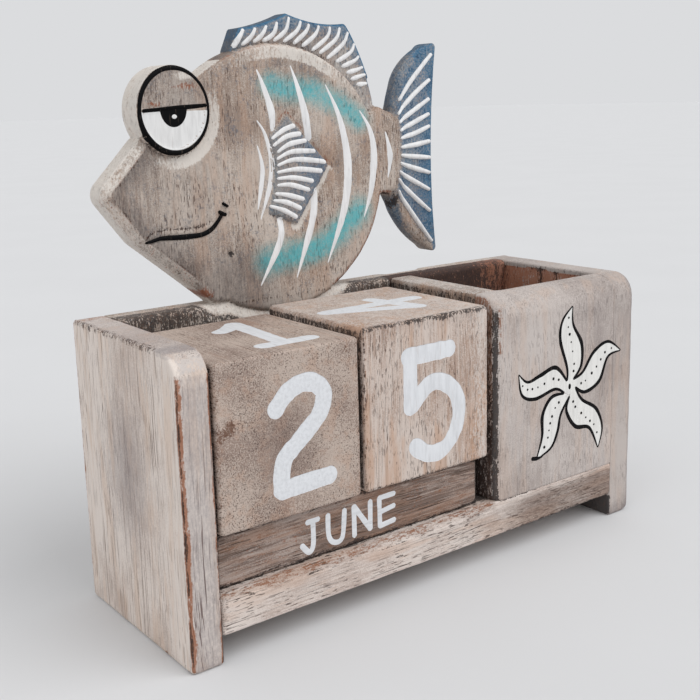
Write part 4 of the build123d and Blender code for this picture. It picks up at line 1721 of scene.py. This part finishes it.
    def _lines(self) -> None:
        """White stripes and fin rays, and the black mouth."""
        brush, centre = self._brush(0.08, 1.0), np.array(self.centre)
        rays = ((self.side_rays, (1.0, 1.7, 1.5)), (self.back_rays, (1.2, 1.7, 1.4, 0.8)),
                (self.tail_rays, (1.1, 1.8, 1.8, 1.4)))
        white = [*self.stripes, *((path, widths) for paths, widths in rays for path in paths)]
        black = [(self.mouth, (0.8, 1.5, 1.7, 1.5, 1.2)), *self.corner]
        for name, marks, paint in (("fish_stripes", white, FISH_WHITE), ("fish_mouth", black, FISH_BLACK)):
            films = [brush.stroke(np.array(path, float) + centre, widths) for path, widths in marks]
            painted(name, films, paint, "case", "fish_wood")

    def _eye(self) -> None:
        """White and black of the eye."""
        middle, half = np.array(self.centre) + self.eye, np.array(self.eye_half)
        globe = middle + (0, 0.5) + (half - 1.2) * circle(np.linspace(183, 357, 60))
        painted("eye_white", [self._brush(0.04, 2.0).patch(globe)], EYE_WHITE, "case", "fish_wood")
        brush = self._brush(0.16, 3.0)
        ring = middle + (half - 0.9) * circle(np.arange(0, 360, 6))
        lid = (middle + (-11, 0.1), middle + (0, 0.75), middle + (11.2, 1.3))
        pupil = middle + (-0.2, 0.6) + circle(np.linspace(180, 360, 30)) * (4.6, 5.6)
        black = [
            brush.stroke(ring, (1.0, 1.2, 1.5, 1.3, 1.1, 1.8, 1.6, 1.2, 1.0), closed=True),
            brush.stroke(lid, (1.1, 1.4, 1.3)),
            brush.patch(pupil, 0.6),
        ]
        painted("eye_black", black, EYE_BLACK, "case", "fish_wood")
        glint = middle + (-0.1, -1.8) + circle(np.arange(0, 360, 24)) * (1.05, 0.85)
        painted("eye_glint", [self._brush(0.3, 4.0).patch(glint, 0.4)], EYE_GLINT, "case", "fish_wood")


class Script:
    """Strokes of brushed numerals, in millimetres from their middle, and of capitals in a unit cell."""

    NUMERALS: dict[str, Sequence[Path]] = {
        "0": (
            ((1, 15), (-6.5, 10.5), (-9.5, -1), (-6.5, -13), (1, -17), (8.5, -13), (11, -1), (8.5, 10.5),
             (1, 15)),
        ),
        "1": (((-2, 9.4), (2.6, 12), (7.1, 16.7)), ((6.8, 15.8), (4.7, -15.5)), ((-2.7, -15.1), (14.3, -15))),
        "2": (
            ((-5.2, 8), (-1.2, 12.2), (3.6, 14.2), (8, 13.7), (11.2, 10.8), (11.2, 7.3), (9.5, 3.8), (6, 0.6),
             (1.4, -3.2), (-2.5, -6.5), (-3.8, -11), (-4, -15.8)),
            ((-4, -15.8), (3.8, -15.4), (13.1, -15.1)),
        ),
        "3": (
            ((-6, 11), (0, 14.8), (6.5, 13), (8.5, 8), (5.5, 3), (0.5, 0.6)),
            ((0.5, 0.6), (8, -2), (10.8, -8), (7.5, -14.5), (0.5, -17), (-7, -13.5)),
        ),
        "4": (((1.7, 19.6), (-10.1, -9.5)), ((-10.1, -9.5), (9.4, -4.5)), ((1.7, 18.6), (1.9, -17.8))),
        "5": (
            ((-8.8, 14), (8.8, 14.1)),
            ((-7.5, 13.4), (-7.6, -2.2)),
            ((-6.8, -1.7), (-0.5, 3.8), (5.1, 4), (10.7, -0.2), (12.5, -6.5), (10.6, -13.4), (5.6, -18.1),
             (-0.8, -18.2), (-6.1, -14.7)),
        ),
        "6": (
            ((8, 14.5), (1, 10.5), (-5.5, 3), (-7.8, -5)),
            ((1.5, 0.5), (-5.5, -2), (-7.8, -8.5), (-4.5, -15), (1.5, -17.2), (8, -14.5), (10.5, -8.5),
             (8, -2), (1.5, 0.5)),
        ),
        "7": (((-8, 13.8), (10.5, 14.2)), ((10.3, 13.4), (3.5, 0), (0, -16.5))),
        "8": (
            ((1, 15), (-4.6, 12), (-5.2, 6), (1, 1), (7.2, 6), (6.6, 12), (1, 15)),
            ((1, 0.6), (-6.6, -3.6), (-7.6, -11), (1, -17.2), (9.6, -11), (8.6, -3.6), (1, 0.6)),
        ),
    }
    CAPITALS: dict[str, Sequence[Path]] = {
        "A": (((0, 0), (0.5, 1)), ((0.5, 1), (1, 0)), ((0.2, 0.36), (0.82, 0.38))),
        "B": (
            ((0, 0), (0, 1)), ((0, 1), (0.7, 0.9), (0.7, 0.62), (0, 0.52)),
            ((0, 0.52), (0.9, 0.4), (0.85, 0.1), (0, 0)),
        ),
        "C": (((1, 0.84), (0.6, 1), (0.12, 0.75), (0.08, 0.28), (0.55, 0), (1, 0.14)),),
        "D": (((0, 0), (0, 1)), ((0, 1), (0.75, 0.84), (0.95, 0.45), (0.7, 0.1), (0, 0))),
        "E": (
            ((0.96, 1), (0.04, 0.99)), ((0.04, 0.99), (0.06, 0.02)), ((0.06, 0.02), (0.96, 0.08)),
            ((0.08, 0.5), (0.94, 0.58)),
        ),
        "F": (((0, 0), (0.03, 1)), ((0.03, 1), (0.95, 1)), ((0.03, 0.54), (0.8, 0.56))),
        "G": (
            ((1, 0.84), (0.6, 1), (0.1, 0.7), (0.12, 0.25), (0.6, 0), (0.98, 0.12), (0.98, 0.44)),
            ((0.98, 0.44), (0.6, 0.44)),
        ),
        "H": (((0, 0), (0.02, 1)), ((1, 1), (0.98, 0)), ((0.02, 0.5), (0.98, 0.53))),
        "I": (((0.5, 1), (0.5, 0)),),
        "J": (((0.36, 0.99), (0.98, 1)), ((0.68, 1), (0.66, 0.22), (0.42, 0), (0.03, 0.28))),
        "L": (((0, 1), (0.03, 0)), ((0.03, 0), (0.92, 0.04))),
        "M": (((0, 0), (0.05, 1)), ((0.05, 1), (0.5, 0.4)), ((0.5, 0.4), (0.96, 1)), ((0.96, 1), (1, 0))),
        "N": (((0.02, 0), (0.02, 1)), ((0.02, 1), (0.98, 0.06)), ((0.98, 0.06), (1, 1))),
        "O": (((0.5, 1), (0.06, 0.75), (0.06, 0.25), (0.5, 0), (0.94, 0.25), (0.94, 0.75), (0.5, 1)),),
        "P": (((0, 0), (0.02, 1)), ((0.02, 1), (0.85, 0.9), (0.8, 0.58), (0.02, 0.48))),
        "R": (
            ((0, 0), (0.02, 1)), ((0.02, 1), (0.82, 0.9), (0.78, 0.6), (0.02, 0.5)), ((0.3, 0.5), (0.95, 0)),
        ),
        "S": (((0.92, 0.88), (0.5, 1), (0.1, 0.8), (0.5, 0.52), (0.92, 0.24), (0.5, 0), (0.04, 0.14)),),
        "T": (((0, 1), (1, 1)), ((0.5, 1), (0.5, 0))),
        "U": (((0.02, 1), (0.04, 0.3), (0.36, 0.02), (0.82, 0.12), (0.98, 1)),),
        "V": (((0, 1), (0.5, 0)), ((0.5, 0), (1, 1))),
        "Y": (((0, 1), (0.5, 0.5)), ((1, 1), (0.5, 0.5)), ((0.5, 0.5), (0.5, 0))),
    }


@dataclass
class DateCube:
    """A loose block with a numeral on each face.

    Attributes:
        node: CAD node and body.
        wood: Finish of the block.
        numerals: Numeral and turn in degrees for each face.
        scorch: Strength of the scorching along the upper front arris.
        cloud: Strength of a dark cloud in the middle of the front.
        pits: Places of brown pits on the front, from its lower left corner.
        inset: Depth of the wood behind the CAD faces, which leaves room for paint.
        width: Width of the brush.
        seed: Shift of the wear.
    """

    node: str
    wood: Wood
    numerals: dict[Facing, tuple[str, float]]
    scorch: float
    cloud: float
    pits: Path = ()
    inset: float = 0.15
    width: float = 5.7
    seed: float = 0.0

    def build(self) -> None:
        """Build and dress the block and its numerals."""
        low, high = corners(self.node)
        low, high = low + self.inset, high - self.inset
        shape = Board.block(
            Facing.FRONT, low, high, (1.3, 1.3, 1.0, 1.3), border_step=1.0, face_step=2.0, seed=self.seed
        ).build()
        owner = (self.node, "cube_wood", self.node)
        wooden(f"{self.node}_block", shape, self.wood, owner, self._stain_and_shade(shape, low, high))
        films = [film for facing in self.numerals for film in self._numeral(facing, low, high)]
        name, wood = f"{self.node}_white", self.wood
        paint = Paint(name, WHITE, wood.timber, wood.grain, thin=0.3, seed=wood.seed)
        painted(f"{self.node}_numerals", films, paint, self.node, "cube_wood")

    def _stain_and_shade(self, shape: Shape, low: Array, high: Array) -> tuple[Array, ...]:
        """Scorched arrises, brown pits, pale wash, a dark cloud, and painted shade on the side faces.

        Args:
            shape: Mesh of the cube.
            low: Its low corner.
            high: Its high corner.

        Returns:
            The four strengths.
        """
        x, y, z = shape.points.T
        deep, side, below = y - low[1], np.minimum(x - low[0], high[0] - x), high[2] - z
        ragged = 1 + 0.5 * wander(shape.points, 6.0, self.seed)
        face, top = ease(0.8, 0.3, deep), below < 0.3
        upper, foot, post = (np.hypot(away, deep) * ragged for away in (below, z - low[2], side))
        char_and_shade = self.scorch * ease(2.6, 0.8, upper) + (0.12 + 0.6 * self.scorch) * ease(1.6, 0.6, foot)
        char_and_shade += (0.35 + 0.2 * self.scorch) * ease(0.9, 0.4, post) + 0.25 * shape.worn * (deep > 3)
        # Side faces darkened: painted shade in the gaps beside the cubes' neighbours.
        char_and_shade += 0.62 * (side < 0.1) * ease(0.3, 1.5, below) * ease(0.5, 1.5, deep)
        rust = 0.4 * ease(2.2, 0.8, post)
        for pit in self.pits:
            rust += 0.58 * face * spot(x - low[0], z - low[2], pit, (2.0, 2.0))
        chalk = self.scorch * (0.85 * top + 0.9 * face * ease(16, 2, high[0] - x))
        middle = (low + high) / 2
        smudge_and_shade = self.cloud * face * spot(x, z, (middle[0] - 2, middle[2] - 3), (13.0, 15.0))
        smudge_and_shade += 0.45 * face * self.scorch * ease(6.0, 1.5, upper) + 0.3 * self.cloud * top
        return char_and_shade, rust, chalk, smudge_and_shade

    def _numeral(self, facing: Facing, low: Array, high: Array) -> list[Shape]:
        """Numeral on one face of the cube.

        Args:
            facing: Where the face looks.
            low: Low corner of the cube.
            high: High corner of the cube.

        Returns:
            Its strokes.
        """
        numeral, turn = self.numerals[facing]
        across, up, (front, _) = facing.span(low, high)
        c, s = math.cos(math.radians(turn)), math.sin(math.radians(turn))
        rotate, middle = np.array([[c, s], [-s, c]]), np.array([sum(across), sum(up)]) / 2
        brush = Brush(facing, front, lift=0.07, seed=self.seed + len(numeral))
        return brush.sign(Script.NUMERALS[numeral], lambda p: p @ rotate + middle, (self.width,) * 3, 0.4)


@dataclass
class MonthBar:
    """A loose square bar with the name of a month on each long face.

    Attributes:
        node: CAD node and body.
        names: Names on the front, top, back and bottom.
        wood: Finish of the bar.
        letter: Width and height of a letter.
        pitch: Distance from one letter to the next.
        start: Left end and foot of a name of four letters, from the bar's left lower corner.
        rise: Height by which each letter stands above the one before it.
        inset: Depth of the wood behind the CAD faces, which leaves room for paint.
    """

    node: str
    names: tuple[str, str, str, str]
    wood: Wood
    letter: Place = (6.4, 9.4)
    pitch: float = 9.7
    start: Place = (29.9, 2.4)
    rise: float = 0.22
    inset: float = 0.15

    FACES = (Facing.FRONT, Facing.TOP, Facing.BACK, Facing.BOTTOM)

    def build(self) -> None:
        """Build and dress the bar and its letters."""
        low, high = corners(self.node)
        low, high = low + self.inset, high - self.inset
        seed = self.wood.seed
        shape = Board.block(Facing.FRONT, low, high, (0.9,) * 4, face_step=2.0, seed=seed).build()
        x, y, z = shape.points.T
        ragged = 1 + 0.5 * wander(shape.points, 9.0, seed)
        char_and_shade = 0.65 * ease(2.0, 0.6, (z - low[2]) * ragged) + 0.6 * ease(2.2, 0.6, (high[2] - z) * ragged)
        char_and_shade += 0.55 * most(near(x, low[0], 1.2), near(x, high[0], 1.2))
        owner = (self.node, "bar_wood", self.node)
        wooden(f"{self.node}_wood", shape, self.wood, owner, (char_and_shade, 0.3 * near(y, low[1], 0.8)))
        names = zip(self.FACES, self.names)
        films = [film for facing, name in names for film in self._name(facing, name, low, high)]
        paint = Paint(f"{self.node}_white", WHITE, self.wood.timber, Grain.ALONG_X, thin=0.3, seed=seed)
        painted(f"{self.node}_letters", films, paint, self.node, "bar_wood")

    def _name(self, facing: Facing, name: str, low: Array, high: Array) -> list[Shape]:
        """Month on one face of the bar.

        Args:
            facing: Where the face looks.
            name: Letters of the month.
            low: Low corner of the bar.
            high: High corner of the bar.

        Returns:
            Its strokes.
        """
        (left, right), (foot, _), (front, _) = facing.span(low, high)
        brush = Brush(facing, front, lift=0.05, seed=self.wood.seed, layer=0.003)
        middle = left + self.start[0] + 2 * self.pitch - 1.6
        pitch = min(self.pitch, (right - left - 8) / len(name))
        size = (min(self.letter[0], pitch - 2.6), self.letter[1])
        films = []
        for number, letter in enumerate(name):
            at = (middle + (number - len(name) / 2) * pitch, foot + self.start[1] + self.rise * number)
            films += brush.sign(Script.CAPITALS[letter], lambda p: p * size + at, (1.8, 1.7, 1.8))
        return films


class Scatter(Tree):
    """A node tree that sets one small turned piece on each point of a mesh."""

    INPUTS = {
        "Head Radius": "Float", "Head Height": "Float", "Stem Radius": "Float", "Stem Length": "Float",
        "Size Change": "Float", "Seed": "Int", "Finish": "Material",
    }
    SIDES = 20

    def __init__(self, name: str) -> None:
        """Make the tree with its named inputs.

        Args:
            name: Its name.
        """
        super().__init__(bpy.data.node_groups.new(name, "GeometryNodeTree"))
        face = self.tree.interface
        face.new_socket("Geometry", in_out="INPUT", socket_type="NodeSocketGeometry")
        self.ids = {
            key: face.new_socket(key, in_out="INPUT", socket_type=f"NodeSocket{kind}").identifier
            for key, kind in self.INPUTS.items()
        }
        face.new_socket("Geometry", in_out="OUTPUT", socket_type="NodeSocketGeometry")
        self._lay_out()

    def _lay_out(self) -> None:
        """Head and stem, set on the points along their drive attribute."""
        source = self.node("NodeGroupInput").outputs
        given = {key: Wire(self, source[key]) for key in ("Geometry", *self.ids)}
        joined = self.node("GeometryNodeJoinGeometry")
        for name, height, share in (("Head", "Head Height", 0.5), ("Stem", "Stem Length", -0.5)):
            sizes = {"Vertices": self.SIDES, "Radius": given[f"{name} Radius"], "Depth": given[height]}
            part = self.wire("GeometryNodeMeshCylinder", {}, sizes, "Mesh")
            move = self.wire("ShaderNodeCombineXYZ", {}, {"Z": given[height] * share})
            moved = self.wire("GeometryNodeTransform", {}, {"Geometry": part, "Translation": move})
            self.tree.links.new(moved.socket, joined.inputs[0])
        drive = self.wire("GeometryNodeInputNamedAttribute", {"data_type": "FLOAT_VECTOR"}, {"Name": "drive"})
        turn = self.wire("FunctionNodeAlignRotationToVector", {"axis": "Z"}, {"Vector": drive})
        change = given["Size Change"]
        limits = {2: 1.0 - change, 3: 1.0 + change, "Seed": given["Seed"]}
        size = self.wire("FunctionNodeRandomValue", {"data_type": "FLOAT"}, limits, 1)
        flat = self.wire("ShaderNodeCombineXYZ", {}, {"X": size, "Y": size, "Z": 1.0})
        points = self.wire("GeometryNodeMeshToPoints", {}, {"Mesh": given["Geometry"]})
        piece = Wire(self, joined.outputs[0])
        seats = {"Points": points, "Instance": piece, "Rotation": turn, "Scale": flat}
        spread = self.wire("GeometryNodeInstanceOnPoints", {}, seats)
        real = self.wire("GeometryNodeRealizeInstances", {}, {"Geometry": spread})
        finish = {"Geometry": real, "Material": given["Finish"]}
        self.node("NodeGroupOutput", {}, {"Geometry": self.wire("GeometryNodeSetMaterial", {}, finish)})

    def make(self, name: str, seats: Array, way: Sequence[float], **values: object) -> bpy.types.Object:
        """Real mesh of the pieces.

        Args:
            name: Name of the piece.
            seats: Places in millimetres.
            way: Outward direction of the pieces.
            **values: Inputs of the tree, with spaces as underscores; lengths in metres.

        Returns:
            The object with the pieces as its mesh.
        """
        mesh = bpy.data.meshes.new(name)
        mesh.from_pydata((seats * MM).tolist(), [], [])
        layer = mesh.attributes.new("drive", "FLOAT_VECTOR", "POINT")
        layer.data.foreach_set("vector", np.tile(np.array(way, np.float32), len(seats)))
        piece = bpy.data.objects.new(name, mesh)
        bpy.context.scene.collection.objects.link(piece)
        modifier = piece.modifiers.new(name, "NODES")
        modifier.node_group = self.tree
        for key, value in values.items():
            modifier[self.ids[key.replace("_", " ")]] = value
        ready = piece.evaluated_get(bpy.context.evaluated_depsgraph_get())
        made = bpy.data.meshes.new_from_object(ready)
        piece.modifiers.remove(modifier)
        piece.data = made
        return piece


@dataclass
class Pins:
    """Panel pins, filled and washed over like the boards they hold.

    Attributes:
        head: Radius of a head, as it shows in its hole.
        head_height: Height of a head.
        stem: Radius of a shank.
        length: Length of a shank below the head.
        sunk: Depth of a head's top below the board.
        back_inset: Distance of the back's outer pins from the end boards.
        shelf_inset: Distance of the pins under the pencil box from its walls.
    """

    head: float = 1.42
    head_height: float = 0.5
    stem: float = 0.7
    length: float = 14.0
    sunk: float = 0.35
    back_inset: float = 24.0
    shelf_inset: float = 14.0

    SHELF_AT = ((-18.5, 14.5), (7.5, 14.5))
    BACK_AT = ((27.0, 42.5), (27.0, 74.0))
    FRONT_AT = ((-27.5, 42.5), (-27.5, 74.0))

    def build(self, scatter: Scatter) -> None:
        """Set the four groups of pins.

        Args:
            scatter: Tree that sets them.
        """
        low, high = corners("left_end_board")[0], corners("right_end_board")[1]
        (left_inner, _, floor), (right_inner, _, _) = corners("base_shelf")
        (wall_left, _, _), (wall_right, _, _) = corners("pencil_box_divider")
        wall = (wall_left + wall_right) / 2
        along = (left_inner + self.back_inset, (left_inner + right_inner) / 2, right_inner - self.back_inset)
        bottom = (wall_right + self.shelf_inset, right_inner - self.shelf_inset)
        left = [(low[0], y, z) for y, z in self.SHELF_AT + self.BACK_AT]
        right = [(high[0], y, z) for y, z in self.SHELF_AT + self.BACK_AT + self.FRONT_AT]
        back = [(x, high[1], self.SHELF_AT[0][1]) for x in along]
        back += [(wall, high[1], z) for _, z in self.BACK_AT]
        under = [(x, self.FRONT_AT[0][0], floor) for x in bottom]
        under += [(wall, y, floor) for y, _ in self.SHELF_AT]
        steel = PIN_STEEL.material()
        groups = (("left_end", left, (-1, 0, 0)), ("right_end", right, (1, 0, 0)),
                  ("back_board", back, (0, 1, 0)), ("shelf", under, (0, 0, -1)))
        for name, seats, way in groups:
            tops = np.array(seats) - np.array(way) * (self.sunk + self.head_height)
            piece = scatter.make(
                f"{name}_pins", tops, way, Head_Radius=self.head * MM, Head_Height=self.head_height * MM,
                Stem_Radius=self.stem * MM, Stem_Length=self.length * MM, Size_Change=0.02, Seed=4,
                Finish=steel,
            )
            dress(piece, steel, "case", "nail_steel", f"{name}_nails")


@dataclass
class SeaStar:
    """A sea star with five wavy arms, painted on the front of the pencil box.

    Attributes:
        from_post: Distance of its middle from the left edge of the pencil box's front.
        height: Height of its middle in the frame.
        arms: The two borders of each arm, from the root to the tip, from the star's middle.
        heel: Blot of paint at the tip of the lower left arm.
        heart: Radius of its middle.
        mouth: Half the width and half the height of the black spot in its middle.
    """

    from_post: float = 35.7
    height: float = 53.9
    arms: Sequence[tuple[Path, Path]] = (
        (((-1.3, 2), (-1.4, 7), (-5, 17.2), (-4, 23.9), (1, 28.4)),
         ((1.7, 2.2), (5.7, 6.6), (5.8, 14.3), (1.3, 21.9), (1, 28.4))),
        (((1.7, 2.2), (6.8, 4), (12.3, 10.1), (19.9, 12.8), (27.2, 8.5)),
         ((2.8, -0.7), (8.1, -3.4), (15.6, -0.7), (20, 7.3), (27.2, 8.5))),
        (((2.9, -0.9), (6.5, -6), (14.2, -10.9), (17.7, -18.5), (15.7, -25.8)),
         ((0.1, -3.3), (-1.4, -8.5), (3.3, -15), (10.8, -17.2), (15.7, -25.8))),
        (((0.1, -3.3), (-4.4, -9.1), (-6, -15), (-9.2, -20.2), (-16.4, -22.9)),
         ((-2.6, -2), (-9.2, -2.3), (-13.4, -7.6), (-13.6, -15.3), (-16.4, -22.9))),
        (((-2.6, -1.8), (-7.6, 0.5), (-17.3, -1.1), (-23.6, 1.4), (-25.3, 8.8)),
         ((-1.3, 2), (-7.2, 7.9), (-14.7, 6.5), (-21, 5.3), (-25.3, 8.8))),
    )
    heel: Path = ((-19, -22), (-16.3, -22.5), (-13.1, -22.4))
    heart: float = 3.0
    mouth: Place = (0.8, 1.2)

    WIDTHS = ((1.0, 1.4, 1.6, 1.2, 0.5), (1.0, 1.6, 1.8, 1.3, 0.5))
    DOT_RADIUS = 0.42 * MM
    DOT_HEIGHT = 0.03 * MM
    DOT_STEM = 0.3 * MM
    DOT_LIFT = 0.06

    def build(self, case: Case, scatter: Scatter) -> None:
        """Paint the fill, the outline and the dots.

        Args:
            case: Case that carries the star.
            scatter: Tree that sets the dots.
        """
        corner = corners("pencil_box_front")[0]
        level, middle = corner[1] + case.inset, np.array([corner[0] + self.from_post, self.height])
        ring = circle(np.arange(0, 360, 20))
        white = Brush(Facing.FRONT, level, lift=0.03, layer=0.002)
        black = Brush(Facing.FRONT, level, lift=0.06, seed=2.0, layer=0.001)
        fills, lines, dots = [white.patch(middle + self.heart * ring, 0.8)], [], []
        for sides in self.arms:
            left, right = (curved(side, steps=8) + middle for side in sides)
            fills.append(white.patch(np.vstack([right, left[-2::-1]]), 0.9))
            lines += [black.stroke(np.array(s, float) + middle, w) for s, w in zip(sides, self.WIDTHS)]
            line = (left + right) / 2
            dots.append(line[(np.linspace(0.2, 0.82, 7) * (len(line) - 1)).astype(int)])
        lines.append(black.stroke(np.array(self.heel, float) + middle, (1.5, 1.5, 0.6)))
        lines.append(black.patch(middle + ring * self.mouth, 0.4))
        painted("star_fill", fills, STAR_WHITE, "case", "case_wood")
        dark = painted("star_lines", lines, STAR_BLACK, "case", "case_wood")
        flat = np.vstack(dots)
        seats = Facing.FRONT.to_space(flat, np.full(len(flat), level - self.DOT_LIFT))
        piece = scatter.make(
            "star_dots", seats, (0, -1, 0), Head_Radius=self.DOT_RADIUS, Head_Height=self.DOT_HEIGHT,
            Stem_Radius=self.DOT_STEM, Stem_Length=self.DOT_STEM, Size_Change=0.3, Seed=7, Finish=dark,
        )
        dress(piece, dark, "case", "case_wood")


@dataclass
class Studio:
    """Pale floor, soft light and the camera of the photograph.

    Attributes:
        place: The camera's place in millimetres, across from the outer face of the left end board.
        azimuth: Its turn about the vertical in degrees.
        elevation: Its height angle in degrees.
        roll: Its roll in degrees.
        focal: Focal length in pixels.
        aim: Pixel of the picture on the camera's axis.
        backdrop: Colour of the background.
        daylight: Strength of the even light from all round.
    """

    place: tuple[float, float, float] = (-122.274, -270.957, 153.613)
    azimuth: float = -37.235
    elevation: float = 11.672
    roll: float = -1.462
    focal: float = 1060.675
    aim: Place = (356.443, 317.679)
    backdrop: Colour = srgb(219, 220, 222)
    daylight: float = 0.62

    PICTURE = 700
    SENSOR = 36.0
    FLOOR = 12.0

    def build(self) -> None:
        """Camera, floor, lights and background."""
        self._camera()
        self._floor()
        self._light("key_light", (32.0, 48.0), 0.42, 50.0)
        self._light("left_light", (-70.0, 40.0), 0.14, 60.0)
        self._world()

    @staticmethod
    def _heading(turn: float, height: float) -> Vector:
        """Direction from the object at a turn from the front to the right and a height, in degrees."""
        a, e = math.radians(turn), math.radians(height)
        return Vector((math.sin(a) * math.cos(e), -math.cos(a) * math.cos(e), math.sin(e)))

    def _camera(self) -> None:
        """Camera for a square picture."""
        back, roll = self._heading(self.azimuth, self.elevation), math.radians(self.roll)
        right = Vector((0, 0, 1)).cross(back).normalized()
        up = back.cross(right)
        across = right * math.cos(roll) + up * math.sin(roll)
        upward = up * math.cos(roll) - right * math.sin(roll)
        lens = bpy.data.cameras.new("camera")
        lens.sensor_width, lens.lens = self.SENSOR, self.focal / self.PICTURE * self.SENSOR
        half = self.PICTURE / 2
        lens.shift_x, lens.shift_y = (half - self.aim[0]) / self.PICTURE, (self.aim[1] - half) / self.PICTURE
        lens.clip_start, lens.clip_end = 0.01, 100.0
        camera = bpy.data.objects.new("camera", lens)
        turn = Matrix((across, upward, back)).transposed().to_4x4()
        corner = Vector((corners("left_end_board")[0][0], 0.0, 0.0))
        camera.matrix_world = Matrix.Translation((corner + Vector(self.place)) * MM) @ turn
        bpy.context.scene.collection.objects.link(camera)
        bpy.context.scene.camera = camera
        bpy.context.scene.view_settings.view_transform = "Standard"

    def _floor(self) -> None:
        """Wide pale floor."""
        mesh = bpy.data.meshes.new("floor")
        ends = [(x * self.FLOOR, y * self.FLOOR, 0) for x, y in ((-1, -1), (1, -1), (1, 1), (-1, 1))]
        mesh.from_pydata(ends, [], [(0, 1, 2, 3)])
        floor = bpy.data.objects.new("floor", mesh)
        bpy.context.scene.collection.objects.link(floor)
        bench = Bench("floor_paper")
        tone = bench.noise(bench.fibres(Grain.ALONG_Z, 0.0), 0.01)
        colour = bench.mix(tuple(0.985 * c for c in self.backdrop), self.backdrop, tone.step(0.3, 0.7))
        mesh.materials.append(bench.finish(colour, 0.9, tone, 0.01, 0.1))

    def _light(self, name: str, way: Place, power: float, spread: float) -> None:
        """Soft distant light.

        Args:
            name: Name of the light.
            way: Turn from the front towards the right, and height, in degrees.
            power: Share of full daylight on a face turned to the light.
            spread: Angle over which the light is spread, in degrees.
        """
        lamp = bpy.data.lights.new(name, "SUN")
        lamp.energy, lamp.angle = power * math.pi, math.radians(spread)
        light = bpy.data.objects.new(name, lamp)
        light.rotation_euler = self._heading(*way).to_track_quat("Z", "Y").to_euler()
        bpy.context.scene.collection.objects.link(light)

    def _world(self) -> None:
        """Even light from all round, and a background of the floor's colour."""
        world = bpy.data.worlds.new("studio")
        world.use_nodes = True
        bpy.context.scene.world = world
        sky = Tree(world.node_tree)
        rays = sky.node("ShaderNodeLightPath").outputs
        ways = {0: Wire(sky, rays["Is Camera Ray"]), 1: Wire(sky, rays["Is Glossy Ray"])}
        direct = sky.wire("ShaderNodeMath", {"operation": "MAXIMUM"}, ways)
        lit = sky.wire("ShaderNodeBackground", {}, {"Color": (1.0, 1.0, 1.0), "Strength": self.daylight})
        seen = sky.wire("ShaderNodeBackground", {}, {"Color": self.backdrop})
        mixed = sky.wire("ShaderNodeMixShader", {}, {0: direct, 1: lit, 2: seen})
        sky.node("ShaderNodeOutputWorld", {}, {"Surface": mixed})


def main() -> None:
    """Build the calendar piece by piece, then the studio round it."""
    logging.basicConfig(level=logging.INFO, format="%(message)s")
    case = Case()
    case.build()
    Fish().build()
    faces = (Facing.FRONT, Facing.TOP, Facing.BACK, Facing.LEFT, Facing.RIGHT, Facing.BOTTOM)
    tens = dict(zip(faces, (("2", 0), ("1", 0), ("0", 0), ("6", 0), ("7", 0), ("8", 0))))
    units = dict(zip(faces, (("5", 0), ("4", 90), ("0", 0), ("1", 0), ("2", 0), ("3", 0))))
    pits = ((4.3, 30.0), (4.3, 13.5), (44.3, 45.6), (5.5, 31.5), (3.0, 28.0))
    DateCube("tens_cube", TENS, tens, scorch=0.1, cloud=0.7, pits=pits, seed=7.0).build()
    DateCube("units_cube", UNITS, units, scorch=0.6, cloud=0.0, seed=8.0).build()
    middle = replace(BAR, name="month_bar_middle_wood", seed=11.0)
    rear = replace(BAR, name="month_bar_rear_wood", seed=12.0)
    MonthBar("month_bar_front", ("JUNE", "MAY", "AUGUST", "JULY"), BAR).build()
    MonthBar("month_bar_middle", ("JANUARY", "FEBRUARY", "MARCH", "APRIL"), middle).build()
    MonthBar("month_bar_rear", ("OCTOBER", "SEPTEMBER", "DECEMBER", "NOVEMBER"), rear).build()
    scatter = Scatter("set_on_points")
    Pins().build(scatter)
    SeaStar().build(case, scatter)
    Studio().build()


if __name__ == "__main__":
    main()
